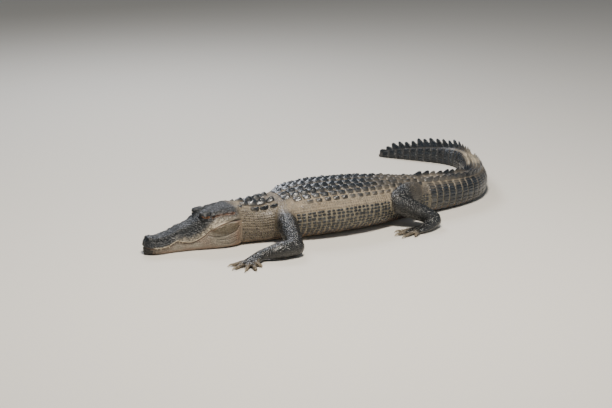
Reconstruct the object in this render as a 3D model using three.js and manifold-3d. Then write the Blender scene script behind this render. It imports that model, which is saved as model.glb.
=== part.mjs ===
// American alligator at rest, life size, in millimetres.
// +Z is up, the torso lies along X with the head towards -X, and the floor is z = 0.
// One centreline in plan, with a width and a height at each station, carries the whole trunk from
// the neck to the tip of the tail. Head, limbs, eyes and claws are set on it from their own sizes.
import * as THREE from "three";
import { mergeVertices } from "three/addons/utils/BufferGeometryUtils.js";
import Module from "manifold-3d";

const wasm = await Module();
wasm.setup();

// Driving sizes.
const GAP = 0.3; // between pieces that meet
const HEAD_BACK = new THREE.Vector3(-436, 46, 0); // the middle of the skull's back edge, on the floor
const HEAD_TURN = 6; // degrees, away from the torso's own line
const TRUNK_SIDES = 20;
const RINGS_A_STATION = 3;
const LIMB_SIDES = 10;

// Stations of the trunk: where it runs in plan, half width, height of its back, and how square it is.
const STATIONS = [
  { x: -424, y: 45, half: 88, top: 163, square: 2.3 }, // 0 nape
  { x: -336, y: 32, half: 100, top: 148, square: 2.3 },
  { x: -240, y: 20, half: 128, top: 168, square: 2.3 }, // 2 shoulder
  { x: -140, y: 10, half: 166, top: 189, square: 2.3 },
  { x: 0, y: -2, half: 186, top: 192, square: 2.3 }, // 4 belly
  { x: 150, y: -12, half: 177, top: 183, square: 2.3 },
  { x: 290, y: -22, half: 140, top: 169, square: 2.3 }, // 6 hips
  { x: 400, y: -30, half: 106, top: 153, square: 2.3 },
  { x: 520, y: -35, half: 86, top: 141, square: 2.4 }, // 8 tail
  { x: 640, y: -33, half: 74, top: 131, square: 2.5 },
  { x: 752, y: -10, half: 63, top: 122, square: 2.6 },
  { x: 850, y: 50, half: 53, top: 115, square: 2.7 },
  { x: 920, y: 132, half: 45, top: 108, square: 2.8 },
  { x: 985, y: 226, half: 38, top: 102, square: 2.9 },
  { x: 1040, y: 328, half: 32, top: 96, square: 3.0 },
  { x: 1068, y: 430, half: 27, top: 90, square: 3.0 },
  { x: 1052, y: 520, half: 23, top: 83, square: 3.0 },
  { x: 1006, y: 596, half: 19, top: 74, square: 3.0 },
  { x: 952, y: 674, half: 15, top: 61, square: 3.0 },
  { x: 896, y: 750, half: 10, top: 42, square: 2.8 },
  { x: 862, y: 792, half: 5, top: 18, square: 2.4 }, // 20 tail tip
];
const TRUNK_NODES = [
  ["neck", 0, 2],
  ["chest", 2, 3.5],
  ["belly", 3.5, 5.5],
  ["pelvis", 5.5, 7.5],
  ["tail_1", 7.5, 9.5],
  ["tail_2", 9.5, 11.5],
  ["tail_3", 11.5, 13.5],
  ["tail_4", 13.5, 15.5],
  ["tail_5", 15.5, 17.5],
  ["tail_6", 17.5, 20],
];

// Colours from the wet and muddy hide, the pale jaw and the claws.
const MATERIALS = {
  hide_back: new THREE.MeshStandardMaterial({ color: 0x2b2e33, roughness: 0.55, metalness: 0 }),
  hide_flank: new THREE.MeshStandardMaterial({ color: 0x6f6a5c, roughness: 0.7, metalness: 0 }),
  hide_jaw: new THREE.MeshStandardMaterial({ color: 0x9a8f7c, roughness: 0.6, metalness: 0 }),
  hide_leg: new THREE.MeshStandardMaterial({ color: 0x24282e, roughness: 0.35, metalness: 0 }),
  eye: new THREE.MeshStandardMaterial({ color: 0x4a3a20, roughness: 0.1, metalness: 0 }),
  claw: new THREE.MeshStandardMaterial({ color: 0x8d8672, roughness: 0.45, metalness: 0 }),
};

const group = new THREE.Group();
const lerp = THREE.MathUtils.lerp;
const V = (x, y, z) => new THREE.Vector3(x, y, z);

// Solids from three.js geometry and back.
function solidOf(geometry) {
  const bare = new THREE.BufferGeometry().setAttribute("position", geometry.getAttribute("position").clone());
  bare.setIndex(geometry.index);
  const merged = mergeVertices(bare, 1e-3);
  return new wasm.Manifold(
    new wasm.Mesh({
      numProp: 3,
      vertProperties: new Float32Array(merged.attributes.position.array),
      triVerts: new Uint32Array(merged.index.array),
    }),
  );
}

function largest(solid) {
  return solid.decompose().reduce((best, s) => (s.volume() > best.volume() ? s : best));
}

function addNode(name, solid, material) {
  const made = largest(solid.simplify(0.01)).getMesh();
  const geometry = new THREE.BufferGeometry()
    .setAttribute("position", new THREE.BufferAttribute(new Float32Array(made.vertProperties), 3))
    .setIndex(new THREE.BufferAttribute(new Uint32Array(made.triVerts), 1));
  const mesh = new THREE.Mesh(geometry, MATERIALS[material]);
  mesh.name = name;
  group.add(mesh);
}

const joined = (solids) => wasm.Manifold.union(solids);

// Rings of equal count, joined in order and closed by a fan at each end.
function loft(rings) {
  const count = rings[0].length;
  const points = rings.flat();
  const faces = [];
  for (let r = 0; r + 1 < rings.length; r++) {
    for (let i = 0; i < count; i++) {
      const a = r * count + i;
      const b = r * count + ((i + 1) % count);
      faces.push(a, b, b + count, a, b + count, a + count);
    }
  }
  for (const [ring, start, flip] of [
    [rings[0], 0, true],
    [rings.at(-1), (rings.length - 1) * count, false],
  ]) {
    const middle = ring.reduce((sum, p) => sum.add(p), V(0, 0, 0)).divideScalar(count);
    points.push(middle);
    for (let i = 0; i < count; i++) {
      const a = start + i;
      const b = start + ((i + 1) % count);
      faces.push(points.length - 1, ...(flip ? [b, a] : [a, b]));
    }
  }
  const geometry = new THREE.BufferGeometry().setFromPoints(points);
  geometry.setIndex(faces);
  const solid = solidOf(geometry);
  if (solid.volume() > 0) return solid;
  for (let i = 0; i < faces.length; i += 3) [faces[i + 1], faces[i + 2]] = [faces[i + 2], faces[i + 1]];
  geometry.setIndex(faces);
  return solidOf(geometry);
}

// The trunk's centreline and its sizes at a place given in stations.
const line = new THREE.CatmullRomCurve3(STATIONS.map((s) => V(s.x, s.y, 0)), false, "catmullrom", 0.5);
const sizes = new THREE.CatmullRomCurve3(
  STATIONS.map((s) => V(s.half, s.top, s.square)),
  false,
  "catmullrom",
  0.5,
);
const LAST = STATIONS.length - 1;

function trunkAt(station) {
  const t = station / LAST;
  const size = sizes.getPoint(t);
  const along = line.getTangent(t);
  return {
    at: line.getPoint(t),
    along,
    across: V(along.y, -along.x, 0), // towards the animal's left side
    half: size.x,
    top: size.y,
    square: size.z,
  };
}

// A point of the trunk's surface: angle 0 is the middle of the back, 90 the left flank.
const MIDDLE_SHARE = 0.5; // the widest point's height as a share of the back's height
const FLOOR_DIP = 10; // how far the round belly would reach below the floor
function sectionPoint(trunk, degrees, grow = 0) {
  const angle = THREE.MathUtils.degToRad(degrees);
  const side = Math.sin(angle);
  const rise = Math.cos(angle);
  const half = trunk.half + grow;
  const middle = trunk.top * MIDDLE_SHARE;
  const reach = rise > 0 ? trunk.top - middle + grow : middle + FLOOR_DIP;
  const power = 2 / (rise > 0 ? 2.15 : trunk.square);
  const y = half * Math.sign(side) * Math.abs(side) ** power;
  const z = middle + reach * Math.sign(rise) * Math.abs(rise) ** power;
  return trunk.at.clone().addScaledVector(trunk.across, y).setZ(Math.max(0, z));
}

function trunkSolid(from, to, grow = 0) {
  const steps = Math.max(2, Math.round((to - from) * RINGS_A_STATION));
  const rings = [];
  for (let i = 0; i <= steps; i++) {
    const trunk = trunkAt(lerp(from, to, i / steps));
    const ring = [];
    for (let k = 0; k < TRUNK_SIDES; k++) ring.push(sectionPoint(trunk, ((k + 0.5) * 360) / TRUNK_SIDES, grow));
    rings.push(ring);
  }
  return loft(rings);
}

// Keeled plates in rows along the trunk. Each kind grows between two stations at one angle to
// both sides, a pitch apart. Its width is a share of the trunk's half width there.
const PLATE_ROOT = 5; // sunk below the skin
const PLATE_FILL = 0.84; // of the pitch
const PLATES = [
  { from: 0.1, to: 0.6, angle: 24, pitch: 24, wide: 0.24, high: 8, lean: 0.5 },
  { from: 0.65, to: 1.65, angle: 17, pitch: 42, wide: 0.38, high: 20, lean: 0.55 },
  { from: 2.1, to: 7.5, angle: 8, pitch: 40, wide: 0.22, high: 9, lean: 0.6 },
  { from: 2.1, to: 7.5, angle: 22, pitch: 40, wide: 0.22, high: 10, lean: 0.6 },
  { from: 2.6, to: 7.0, angle: 37, pitch: 40, wide: 0.21, high: 9, lean: 0.6 },
  { from: 3.3, to: 6.0, angle: 51, pitch: 40, wide: 0.19, high: 7, lean: 0.6 },
  { from: 7.5, to: 13.5, angle: 25, pitch: 39, wide: 0.28, high: 19, lean: 0.5 },
  { from: 13.5, to: 19.8, angle: 0, pitch: 35, wide: 0.34, high: 38, lean: 0.35 },
];
const PLATE_FADE = 3.5; // stations over which plates sink to the tip of the tail
const PLATE_FACES = [
  [0, 6, 1], [3, 7, 4], [1, 6, 2], [2, 6, 7], [2, 7, 3], [4, 7, 5],
  [5, 7, 6], [5, 6, 0], [0, 1, 2], [0, 2, 3], [0, 3, 4], [0, 4, 5],
];

function plateSolid(station, degrees, long, kind, grow) {
  const trunk = trunkAt(station);
  const draw = THREE.MathUtils.seededRandom(Math.round(station * 1000 + degrees * 7) + 9000);
  const fade = Math.min(1, 0.3 + (LAST - station) / PLATE_FADE);
  const high = kind.high * lerp(0.88, 1.12, draw) * fade + grow;
  const wide = kind.wide * trunk.half + 2 * grow;
  const root = sectionPoint(trunk, degrees);
  const out = root.clone().sub(trunk.at.clone().setZ(trunk.top * MIDDLE_SHARE)).normalize();
  const side = out.clone().cross(trunk.along).normalize();
  const point = (a, s, o) =>
    root.clone().addScaledVector(trunk.along, a).addScaledVector(side, s).addScaledVector(out, o);
  const half = long / 2 + grow;
  const foot = [[-1, -0.3], [-1, 0.3], [0, 0.5], [1, 0.3], [1, -0.3], [0, -0.5]];
  const corners = foot.map(([a, s]) => point(a * half, s * wide, -PLATE_ROOT));
  corners.push(point(-half * kind.lean, 0, high * 0.45), point(half * 0.85, 0, high));
  const geometry = new THREE.BufferGeometry().setFromPoints(corners);
  return solidOf(geometry.setIndex(PLATE_FACES.flat()));
}

function plateSolids(from, to, grow = 0) {
  const made = [];
  for (const kind of PLATES) {
    const start = Math.max(from, kind.from);
    const end = Math.min(to, kind.to);
    const length = line.getPoint(start / LAST).distanceTo(line.getPoint(end / LAST));
    const count = start < end ? Math.round(length / kind.pitch) : 0;
    const long = (length / count) * PLATE_FILL;
    for (let i = 0; i < count; i++) {
      const station = lerp(start, end, (i + 0.5) / count);
      for (const side of kind.angle ? [1, -1] : [1]) {
        made.push(plateSolid(station, side * kind.angle, long, kind, grow));
      }
    }
  }
  return made;
}

const trunkParts = [];
function buildTrunk() {
  for (const [name, from, to] of TRUNK_NODES) {
    const trim = GAP / 2 / 110;
    const body = trunkSolid(from + trim, to - trim);
    const whole = joined([body, ...plateSolids(from, to)]);
    addNode(name, whole, name.startsWith("tail") ? "hide_back" : "hide_flank");
    trunkParts.push(whole);
  }
}

// The head's own frame: u runs forward from the skull's back, v to the animal's left.
const headTurn = THREE.MathUtils.degToRad(HEAD_TURN);
const forward = V(-Math.cos(headTurn), Math.sin(headTurn), 0);
const leftward = V(-Math.sin(headTurn), -Math.cos(headTurn), 0);
function headPoint(u, v, z) {
  return HEAD_BACK.clone().addScaledVector(forward, u).addScaledVector(leftward, v).setZ(z);
}

// Sizes of the head at places along it: half width of the lip, half width of the top, height of
// the top, height of the mouth line, and the lower jaw's half width.
const HEAD_STATIONS = [
  { u: -12, lip: 90, crown: 58, top: 158, mouth: 110, jaw: 90 },
  { u: 20, lip: 96, crown: 60, top: 155, mouth: 112, jaw: 99 },
  { u: 60, lip: 92, crown: 55, top: 150, mouth: 108, jaw: 97 },
  { u: 95, lip: 84, crown: 48, top: 145, mouth: 98, jaw: 88 },
  { u: 125, lip: 76, crown: 43, top: 138, mouth: 76, jaw: 76 },
  { u: 150, lip: 69, crown: 38, top: 126, mouth: 55, jaw: 67 },
  { u: 172, lip: 63, crown: 35, top: 113, mouth: 42, jaw: 59 },
  { u: 195, lip: 58, crown: 34, top: 102, mouth: 36, jaw: 53 },
  { u: 225, lip: 54, crown: 33, top: 94, mouth: 40, jaw: 49 },
  { u: 250, lip: 51, crown: 31, top: 84, mouth: 46, jaw: 46 },
  { u: 270, lip: 49, crown: 30, top: 77, mouth: 37, jaw: 43 },
  { u: 290, lip: 48, crown: 29, top: 72, mouth: 28, jaw: 41 },
  { u: 315, lip: 47, crown: 28, top: 68, mouth: 25, jaw: 38 },
  { u: 337, lip: 45, crown: 27, top: 68, mouth: 26, jaw: 35 },
  { u: 354, lip: 37, crown: 22, top: 65, mouth: 28, jaw: 26 },
  { u: 367, lip: 25, crown: 14, top: 56, mouth: 30, jaw: 13 },
  { u: 374, lip: 12, crown: 6, top: 46, mouth: 31, jaw: 0 },
];

// A ring of the upper head, from one lip over the top to the other.
function headRing(s, grow = 0) {
  const rise = s.top - s.mouth;
  const half = [
    [0, s.top + grow],
    [s.crown * 0.6, s.top - 1 + grow],
    [s.crown, s.top - rise * 0.06 + grow],
    [s.crown + (s.lip - s.crown) * 0.32, s.top - rise * 0.34],
    [s.crown + (s.lip - s.crown) * 0.68, s.top - rise * 0.6],
    [s.lip + grow, s.mouth + rise * 0.2],
    [s.lip - 1 + grow, s.mouth + 2],
    [s.lip - 6, s.mouth + GAP / 2],
  ];
  return [
    ...half.map(([v, z]) => headPoint(s.u, v, z)),
    headPoint(s.u, 0, s.mouth + GAP / 2),
    ...half.slice(1).reverse().map(([v, z]) => headPoint(s.u, -v, z)),
  ];
}

// A ring of the lower jaw, flat on the floor.
const JAW_FLAT = 0.62;
function jawRing(s, grow = 0) {
  const high = s.mouth - GAP / 2;
  const half = [
    [0, high],
    [s.jaw - 7, high],
    [s.jaw - 2.5 + grow, high - 2.5],
    [s.jaw + grow, high * 0.66],
    [s.jaw * 0.95 + grow, high * 0.34],
    [s.jaw * 0.84, high * 0.1],
    [s.jaw * JAW_FLAT, 0],
  ];
  return [
    ...half.map(([v, z]) => headPoint(s.u, v, z)),
    headPoint(s.u, 0, 0),
    ...half.slice(1).reverse().map(([v, z]) => headPoint(s.u, -v, z)),
  ];
}

function ellipsoid(centre, radii, turn = 0, wide = 10, high = 6) {
  const ball = new THREE.SphereGeometry(1, wide, high);
  ball.scale(radii.x, radii.y, radii.z);
  ball.rotateZ(turn);
  ball.translate(centre.x, centre.y, centre.z);
  ball.deleteAttribute("normal");
  ball.deleteAttribute("uv");
  return solidOf(ball);
}

const EYE = { u: 128, v: 43, z: 131, radius: 12.5 };
const BROW = { u: 126, v: 33, z: 140, radii: V(25, 14, 9) };
const LOWER_LID = { u: 129, v: 50, z: 121, radii: V(17, 8, 5) };
const NOSTRIL_BOSS = { u: 348, v: 11, z: 61, radii: V(17, 14, 11) };
const NOSTRIL = { u: 350, v: 11, z: 73, radii: V(6, 3, 5) };
const PAD = { u: 58, v: 84, z: 88, radii: V(60, 20, 25) };
const EAR = { u: 66, v: 60, z: 135, radii: V(40, 6, 3) };

const headTurnZ = -headTurn;
const onHead = (part, side, grow = 0) =>
  ellipsoid(headPoint(part.u, part.v * side, part.z), part.radii.clone().addScalar(grow), headTurnZ);
const bothSides = (part, grow = 0) => [onHead(part, 1, grow), onHead(part, -1, grow)];

function eyeSolid(side, grow = 0) {
  const size = EYE.radius + grow;
  return ellipsoid(headPoint(EYE.u, EYE.v * side, EYE.z), V(size, size, size), 0, 12, 8);
}

// Upper teeth, pointing down outside the lower jaw.
const TEETH = { from: 215, to: 352, count: 7, long: 7, radius: 2.6, sides: 5 };
function sizeOfHead(u) {
  const after = HEAD_STATIONS.findIndex((s) => s.u >= u);
  const [a, b] = [HEAD_STATIONS[after - 1], HEAD_STATIONS[after]];
  const share = (u - a.u) / (b.u - a.u);
  return Object.fromEntries(Object.keys(a).map((key) => [key, lerp(a[key], b[key], share)]));
}

function toothSolids() {
  const made = [];
  for (let i = 0; i < TEETH.count; i++) {
    const u = lerp(TEETH.from, TEETH.to, i / (TEETH.count - 1));
    const s = sizeOfHead(u);
    const long = TEETH.long * (0.8 + 0.35 * Math.sin(i * 2.1));
    for (const side of [1, -1]) {
      const cone = new THREE.ConeGeometry(TEETH.radius, long + 4, TEETH.sides).rotateX(-Math.PI / 2);
      const at = headPoint(u, (s.lip - 3.2) * side, s.mouth + 2 - long / 2);
      cone.translate(at.x, at.y, at.z);
      made.push(solidOf(cone));
    }
  }
  return made;
}

function buildHead() {
  const jaw = (grow) =>
    joined([loft(HEAD_STATIONS.slice(0, -1).map((s) => jawRing(s, grow))), ...bothSides(PAD, grow)]);
  const eyes = [eyeSolid(1, GAP), eyeSolid(-1, GAP)];
  const neckFace = trunkSolid(0, 1, GAP);
  const skull = joined([
    loft(HEAD_STATIONS.map((s) => headRing(s))),
    ...bothSides(BROW),
    ...bothSides(LOWER_LID),
    ...bothSides(NOSTRIL_BOSS),
    ...bothSides(EAR),
    ...toothSolids(),
  ]);
  addNode("head", skull.subtract(joined([jaw(GAP), ...eyes, ...bothSides(NOSTRIL), neckFace])), "hide_back");
  addNode("lower_jaw", jaw(0).subtract(neckFace), "hide_jaw");
  for (const [name, side] of [["eye_left", 1], ["eye_right", -1]]) addNode(name, eyeSolid(side), "eye");
}

// A tube of oval section with round ends along points, flat where it meets the floor.
// Each point holds its place and the tube's half width and half height there.
const ROUND_END = [60]; // degrees round the end of a tube, from its tip
function sweep(points, { sides = LIMB_SIDES, ringsEach = 3, grow = 0 } = {}) {
  const path = new THREE.CatmullRomCurve3(points.map((p) => V(...p.at)), false, "centripetal");
  const radii = new THREE.CatmullRomCurve3(points.map((p) => V(p.wide, p.high, 0)), false, "catmullrom", 0.5);
  const steps = (points.length - 1) * ringsEach;
  const stops = [];
  for (let i = 0; i <= steps; i++) stops.push({ t: i / steps, degrees: 0, way: 0 });
  const rounding = (t, way) => ROUND_END.map((degrees) => ({ t, degrees, way }));
  stops.unshift(...rounding(0, -1));
  stops.push(...rounding(1, 1).reverse());
  const rings = stops.map(({ t, degrees, way }) => {
    const angle = THREE.MathUtils.degToRad(degrees);
    const radius = radii.getPoint(t).addScalar(grow);
    const along = path.getTangent(t);
    const reach = way * Math.sin(angle) * Math.min(radius.x, radius.y);
    const centre = path.getPoint(t).addScaledVector(along, reach);
    const across = V(0, 0, 1).cross(along).normalize();
    const up = along.clone().cross(across).normalize();
    const ring = [];
    for (let k = 0; k < sides; k++) {
      const turn = ((k + 0.5) * 2 * Math.PI) / sides;
      const p = centre
        .clone()
        .addScaledVector(across, Math.cos(turn) * radius.x * Math.cos(angle))
        .addScaledVector(up, Math.sin(turn) * radius.y * Math.cos(angle));
      ring.push(p.setZ(Math.max(0, p.z)));
    }
    return ring;
  });
  return loft(rings);
}

// Limbs: the points of each bone, from inside the trunk to the palm or the sole.
const LIMBS = {
  front_left: {
    upper: [
      { at: [-255, -70, 104], wide: 46, high: 46 },
      { at: [-290, -166, 82], wide: 40, high: 40 },
      { at: [-324, -256, 42], wide: 35, high: 38 },
    ],
    lower: [
      { at: [-324, -264, 38], wide: 35, high: 36 },
      { at: [-393, -258, 35], wide: 35, high: 31 },
      { at: [-462, -236, 24], wide: 24, high: 19 },
    ],
    palm: [
      { at: [-462, -232, 22], wide: 24, high: 18 },
      { at: [-500, -246, 15], wide: 29, high: 14 },
      { at: [-532, -256, 10], wide: 31, high: 11 },
    ],
    digits: [[-592, -236], [-600, -272], [-578, -308], [-548, -328], [-508, -304]],
  },
  front_right: {
    upper: [
      { at: [-244, 100, 100], wide: 46, high: 44 },
      { at: [-238, 186, 80], wide: 40, high: 40 },
      { at: [-228, 268, 44], wide: 34, high: 36 },
    ],
    lower: [
      { at: [-230, 276, 40], wide: 34, high: 35 },
      { at: [-244, 316, 36], wide: 34, high: 30 },
      { at: [-256, 354, 24], wide: 24, high: 19 },
    ],
    palm: [
      { at: [-256, 354, 22], wide: 24, high: 18 },
      { at: [-262, 382, 15], wide: 29, high: 14 },
      { at: [-268, 406, 10], wide: 31, high: 11 },
    ],
    digits: [[-314, 444], [-296, 470], [-262, 476], [-230, 458], [-216, 420]],
  },
  hind_left: {
    upper: [
      { at: [412, -66, 90], wide: 46, high: 50 },
      { at: [328, -126, 110], wide: 53, high: 53 },
      { at: [242, -162, 104], wide: 46, high: 47 },
    ],
    lower: [
      { at: [246, -174, 98], wide: 42, high: 43 },
      { at: [310, -228, 66], wide: 37, high: 37 },
      { at: [366, -262, 36], wide: 27, high: 29 },
    ],
    palm: [
      { at: [366, -268, 28], wide: 27, high: 26 },
      { at: [316, -286, 16], wide: 30, high: 16 },
      { at: [262, -288, 10], wide: 35, high: 11 },
    ],
    digits: [[196, -248], [170, -280], [176, -314], [212, -334]],
  },
  hind_right: {
    upper: [
      { at: [334, 22, 92], wide: 50, high: 46 },
      { at: [286, 90, 98], wide: 52, high: 46 },
      { at: [246, 134, 92], wide: 46, high: 42 },
    ],
    lower: [
      { at: [248, 146, 88], wide: 42, high: 42 },
      { at: [308, 204, 60], wide: 36, high: 36 },
      { at: [362, 244, 36], wide: 27, high: 29 },
    ],
    palm: [
      { at: [362, 250, 28], wide: 27, high: 26 },
      { at: [312, 272, 16], wide: 30, high: 16 },
      { at: [258, 280, 10], wide: 35, high: 11 },
    ],
    digits: [[192, 244], [164, 276], [168, 312], [202, 334]],
  },
};
const LIMB_NAMES = {
  front: ["upper_arm", "forearm", "hand"],
  hind: ["thigh", "shank", "foot"],
};
const CLAWED_DIGITS = 3; // the inner three carry claws
const TOE = { root: 11, tip: 6.5, high: 7.5 };
const CLAW = { long: 22, wide: 4.2, high: 5.2 };

// One toe from the palm's end to its tip, and the claw that grows from it.
function toePath(limb, digit) {
  const root = V(...limb.palm.at(-1).at).lerp(V(...limb.palm.at(-2).at), 0.35);
  const tip = V(digit[0], digit[1], TOE.tip);
  const middle = root.clone().lerp(tip, 0.5).setZ(TOE.high + 4);
  return [
    { at: root.setZ(10).toArray(), wide: TOE.root, high: 9 },
    { at: middle.toArray(), wide: TOE.root * 0.85, high: TOE.high + 1 },
    { at: tip.toArray(), wide: TOE.tip, high: TOE.tip },
  ];
}

function clawSolid(toe) {
  const tip = V(...toe.at(-1).at);
  const out = tip.clone().sub(V(...toe.at(-2).at)).setZ(0).normalize();
  const reach = (share, z) => tip.clone().addScaledVector(out, CLAW.long * share).setZ(z).toArray();
  return sweep(
    [
      { at: reach(0.05, 8.4), wide: CLAW.wide, high: CLAW.high },
      { at: reach(0.55, 8), wide: CLAW.wide * 0.75, high: CLAW.high * 0.75 },
      { at: reach(1, 2.5), wide: 0.9, high: 1.1 },
    ],
    { sides: 5, ringsEach: 1 },
  );
}

function buildLimb(name, limb, trunk) {
  const [end, side] = name.split("_");
  const bone = { ringsEach: 3 };
  const upper = sweep(limb.upper, bone).subtract(trunk);
  const upperCutter = sweep(limb.upper, { ...bone, grow: GAP });
  const lower = sweep(limb.lower, bone).subtract(joined([upperCutter, trunk]));
  const lowerCutter = sweep(limb.lower, { ...bone, grow: GAP });
  const toes = limb.digits.map((digit) => toePath(limb, digit));
  const toeShape = { sides: 6, ringsEach: 2 };
  const foot = joined([sweep(limb.palm, bone), ...toes.map((toe) => sweep(toe, toeShape))]);
  const pieces = [upper, lower, foot.subtract(joined([lowerCutter, upperCutter, trunk]))];
  LIMB_NAMES[end].forEach((part, i) => addNode(`${part}_${side}`, pieces[i], "hide_leg"));
  const sockets = joined(toes.map((toe) => sweep(toe, { ...toeShape, grow: GAP })));
  toes.slice(0, CLAWED_DIGITS).forEach((toe, i) => {
    addNode(`claw_${name}_${i + 1}`, clawSolid(toe).subtract(sockets), "claw");
  });
}

buildTrunk();
buildHead();
const trunk = joined([
  ...trunkParts.slice(0, 5),
  ...TRUNK_NODES.slice(0, 5).flatMap(([, from, to]) => [
    trunkSolid(from, to, 2 * GAP),
    ...plateSolids(from, to, GAP),
  ]),
]);
for (const [name, limb] of Object.entries(LIMBS)) buildLimb(name, limb, trunk);

export default group;
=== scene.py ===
"""The finished look of a life-size American alligator at rest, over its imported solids.

Sizes are in metres. +Z is up, the torso lies along X with the head towards -X, and the floor is
z = 0. Trunk, head and limbs are drawn from the sizes that the solids have, joined into one skin,
and dressed with plates and scales that are laid row by row along the body.
"""
import math

import bmesh
import bpy
import numpy as np
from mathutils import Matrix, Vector
from mathutils.bvhtree import BVHTree
from mathutils.kdtree import KDTree


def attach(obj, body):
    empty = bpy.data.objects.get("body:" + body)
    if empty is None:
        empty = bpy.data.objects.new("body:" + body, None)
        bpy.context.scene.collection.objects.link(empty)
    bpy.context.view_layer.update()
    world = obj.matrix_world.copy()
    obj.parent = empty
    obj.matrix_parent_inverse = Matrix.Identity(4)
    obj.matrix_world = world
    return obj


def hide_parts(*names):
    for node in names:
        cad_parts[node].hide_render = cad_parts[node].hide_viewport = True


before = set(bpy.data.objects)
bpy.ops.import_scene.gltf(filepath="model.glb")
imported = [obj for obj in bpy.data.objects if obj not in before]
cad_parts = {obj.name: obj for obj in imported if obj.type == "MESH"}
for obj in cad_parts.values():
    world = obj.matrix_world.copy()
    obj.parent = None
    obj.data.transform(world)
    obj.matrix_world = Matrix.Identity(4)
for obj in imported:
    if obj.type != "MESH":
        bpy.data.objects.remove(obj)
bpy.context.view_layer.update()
rng = np.random.default_rng(7)  # seeded, so that every run gives the same animal

# Trunk, one row a station from the nape to the tip of the tail: place in plan, half width and height
# of the back in millimetres, and how square the lower half is. Places along the body are given in
# stations: the shoulders lie at 1.6 to 2.6, the hips at 6.4 to 7.6, and the tail turns back at 11 to 15.
TRUNK = np.array([
    (-424, 45, 88, 163, 2.3),
    (-336, 32, 100, 148, 2.3),
    (-240, 20, 128, 168, 2.3),
    (-140, 10, 166, 189, 2.3),
    (0, -2, 186, 192, 2.3),
    (150, -12, 177, 183, 2.3),
    (290, -22, 140, 169, 2.3),
    (400, -30, 106, 153, 2.3),
    (520, -35, 86, 141, 2.4),
    (640, -33, 74, 131, 2.5),
    (752, -10, 63, 122, 2.6),
    (850, 50, 53, 115, 2.7),
    (920, 132, 45, 108, 2.8),
    (985, 226, 38, 102, 2.9),
    (1040, 328, 32, 96, 3.0),
    (1068, 430, 27, 90, 3.0),
    (1052, 520, 23, 83, 3.0),
    (1006, 596, 19, 74, 3.0),
    (952, 674, 15, 61, 3.0),
    (896, 750, 10, 42, 2.8),
    (862, 792, 5, 18, 2.4),
]) / (1000, 1000, 1000, 1000, 1)
LAST_STATION = len(TRUNK) - 1
TRUNK_MIDDLE = 0.5  # height of the widest line, as a share of the back's height
BACK_SQUARENESS = 2.15
FLOOR_DIP = 0.01  # how far the round belly would reach below the floor

# Head, from the back of the skull to the tip of the snout, in millimetres: distance forward, half
# width of the lip, half width of the top, height of the top, of the mouth line, and half width of
# the jaw.
HEAD = np.array([
    (-12, 90, 58, 158, 110, 90),
    (20, 96, 60, 155, 112, 99),
    (60, 92, 55, 150, 108, 97),
    (95, 84, 48, 145, 98, 88),
    (125, 76, 43, 138, 76, 76),
    (150, 69, 38, 126, 55, 67),
    (172, 63, 35, 113, 42, 59),
    (195, 58, 34, 102, 36, 53),
    (225, 54, 33, 94, 40, 49),
    (250, 51, 31, 84, 46, 46),
    (270, 49, 30, 77, 37, 43),
    (290, 48, 29, 72, 28, 41),
    (315, 47, 28, 68, 25, 38),
    (337, 45, 27, 68, 26, 35),
    (354, 37, 22, 65, 28, 26),
    (367, 25, 14, 56, 30, 13),
    (374, 12, 6, 46, 31, 4),
]) / 1000
HEAD_LENGTH = HEAD[-1, 0]
HEAD_SIDES = 64  # points round each section
HEAD_BACK = np.array((-0.436, 0.046, 0))
HEAD_TURN = math.radians(6)
FORWARD = np.array((-math.cos(HEAD_TURN), math.sin(HEAD_TURN), 0))
LEFTWARD = np.array((-math.sin(HEAD_TURN), -math.cos(HEAD_TURN), 0))
UP = np.array((0.0, 0.0, 1.0))

# Places on the head's left side: distance forward, to the side and up.
EYE = (0.128, 0.043, 0.131)
EYE_RADIUS = 0.0125
NOSTRIL = (0.35, 0.011, 0.072)
# Round forms on both sides of the head: their middles and their half sizes.
HEAD_FORMS = {
    "brow": ((0.121, 0.036, 0.139), (0.029, 0.018, 0.012)),
    "lower_lid": ((0.129, 0.05, 0.121), (0.017, 0.008, 0.005)),
    "nostril_boss": ((0.348, 0.011, 0.061), (0.017, 0.014, 0.011)),
    "jaw_pad": ((0.058, 0.084, 0.088), (0.06, 0.02, 0.025)),
    "ear_flap": ((0.066, 0.06, 0.135), (0.04, 0.006, 0.003)),
    "eye_cover": (EYE, (0.015, 0.015, 0.015)),
}
FOLD_SIDE = 0.045  # the folds of the cheeks lie further out from the head's middle than this

# Folds of the head's side: depth, half width, and their line in distance forward and height.
FOLDS = {
    "ear_slit": (0.0028, 0.0018, [(0.012, 0.138), (0.05, 0.137), (0.088, 0.133), (0.104, 0.126)]),
    "pad_fold": (0.0035, 0.0028, [(0.128, 0.06), (0.1, 0.056), (0.06, 0.058), (0.02, 0.07),
                                  (0.0, 0.09)]),
    "pad_brow": (0.0026, 0.0024, [(0.118, 0.086), (0.09, 0.108), (0.05, 0.115), (0.0, 0.114)]),
    "jaw_fold": (0.0022, 0.0024, [(0.095, 0.044), (0.05, 0.04), (0.01, 0.052)]),
    "throat_fold": (0.0022, 0.0024, [(0.08, 0.028), (0.04, 0.022), (0.0, 0.036)]),
    "neck_fold": (0.0022, 0.0024, [(0.008, 0.1), (-0.004, 0.06), (0.004, 0.02)]),
}
# The closed mouth, from the side: height over the mouth line, rise out of the skin, half width.
LIP_PROFILE = ((0.0, -0.0034, 0.002), (0.006, 0.0012, 0.0035), (-0.006, 0.001, 0.0035))
LID_OPENING = (0.72, 0.25)  # half length and half height of the lids' opening, in eye radii

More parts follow.
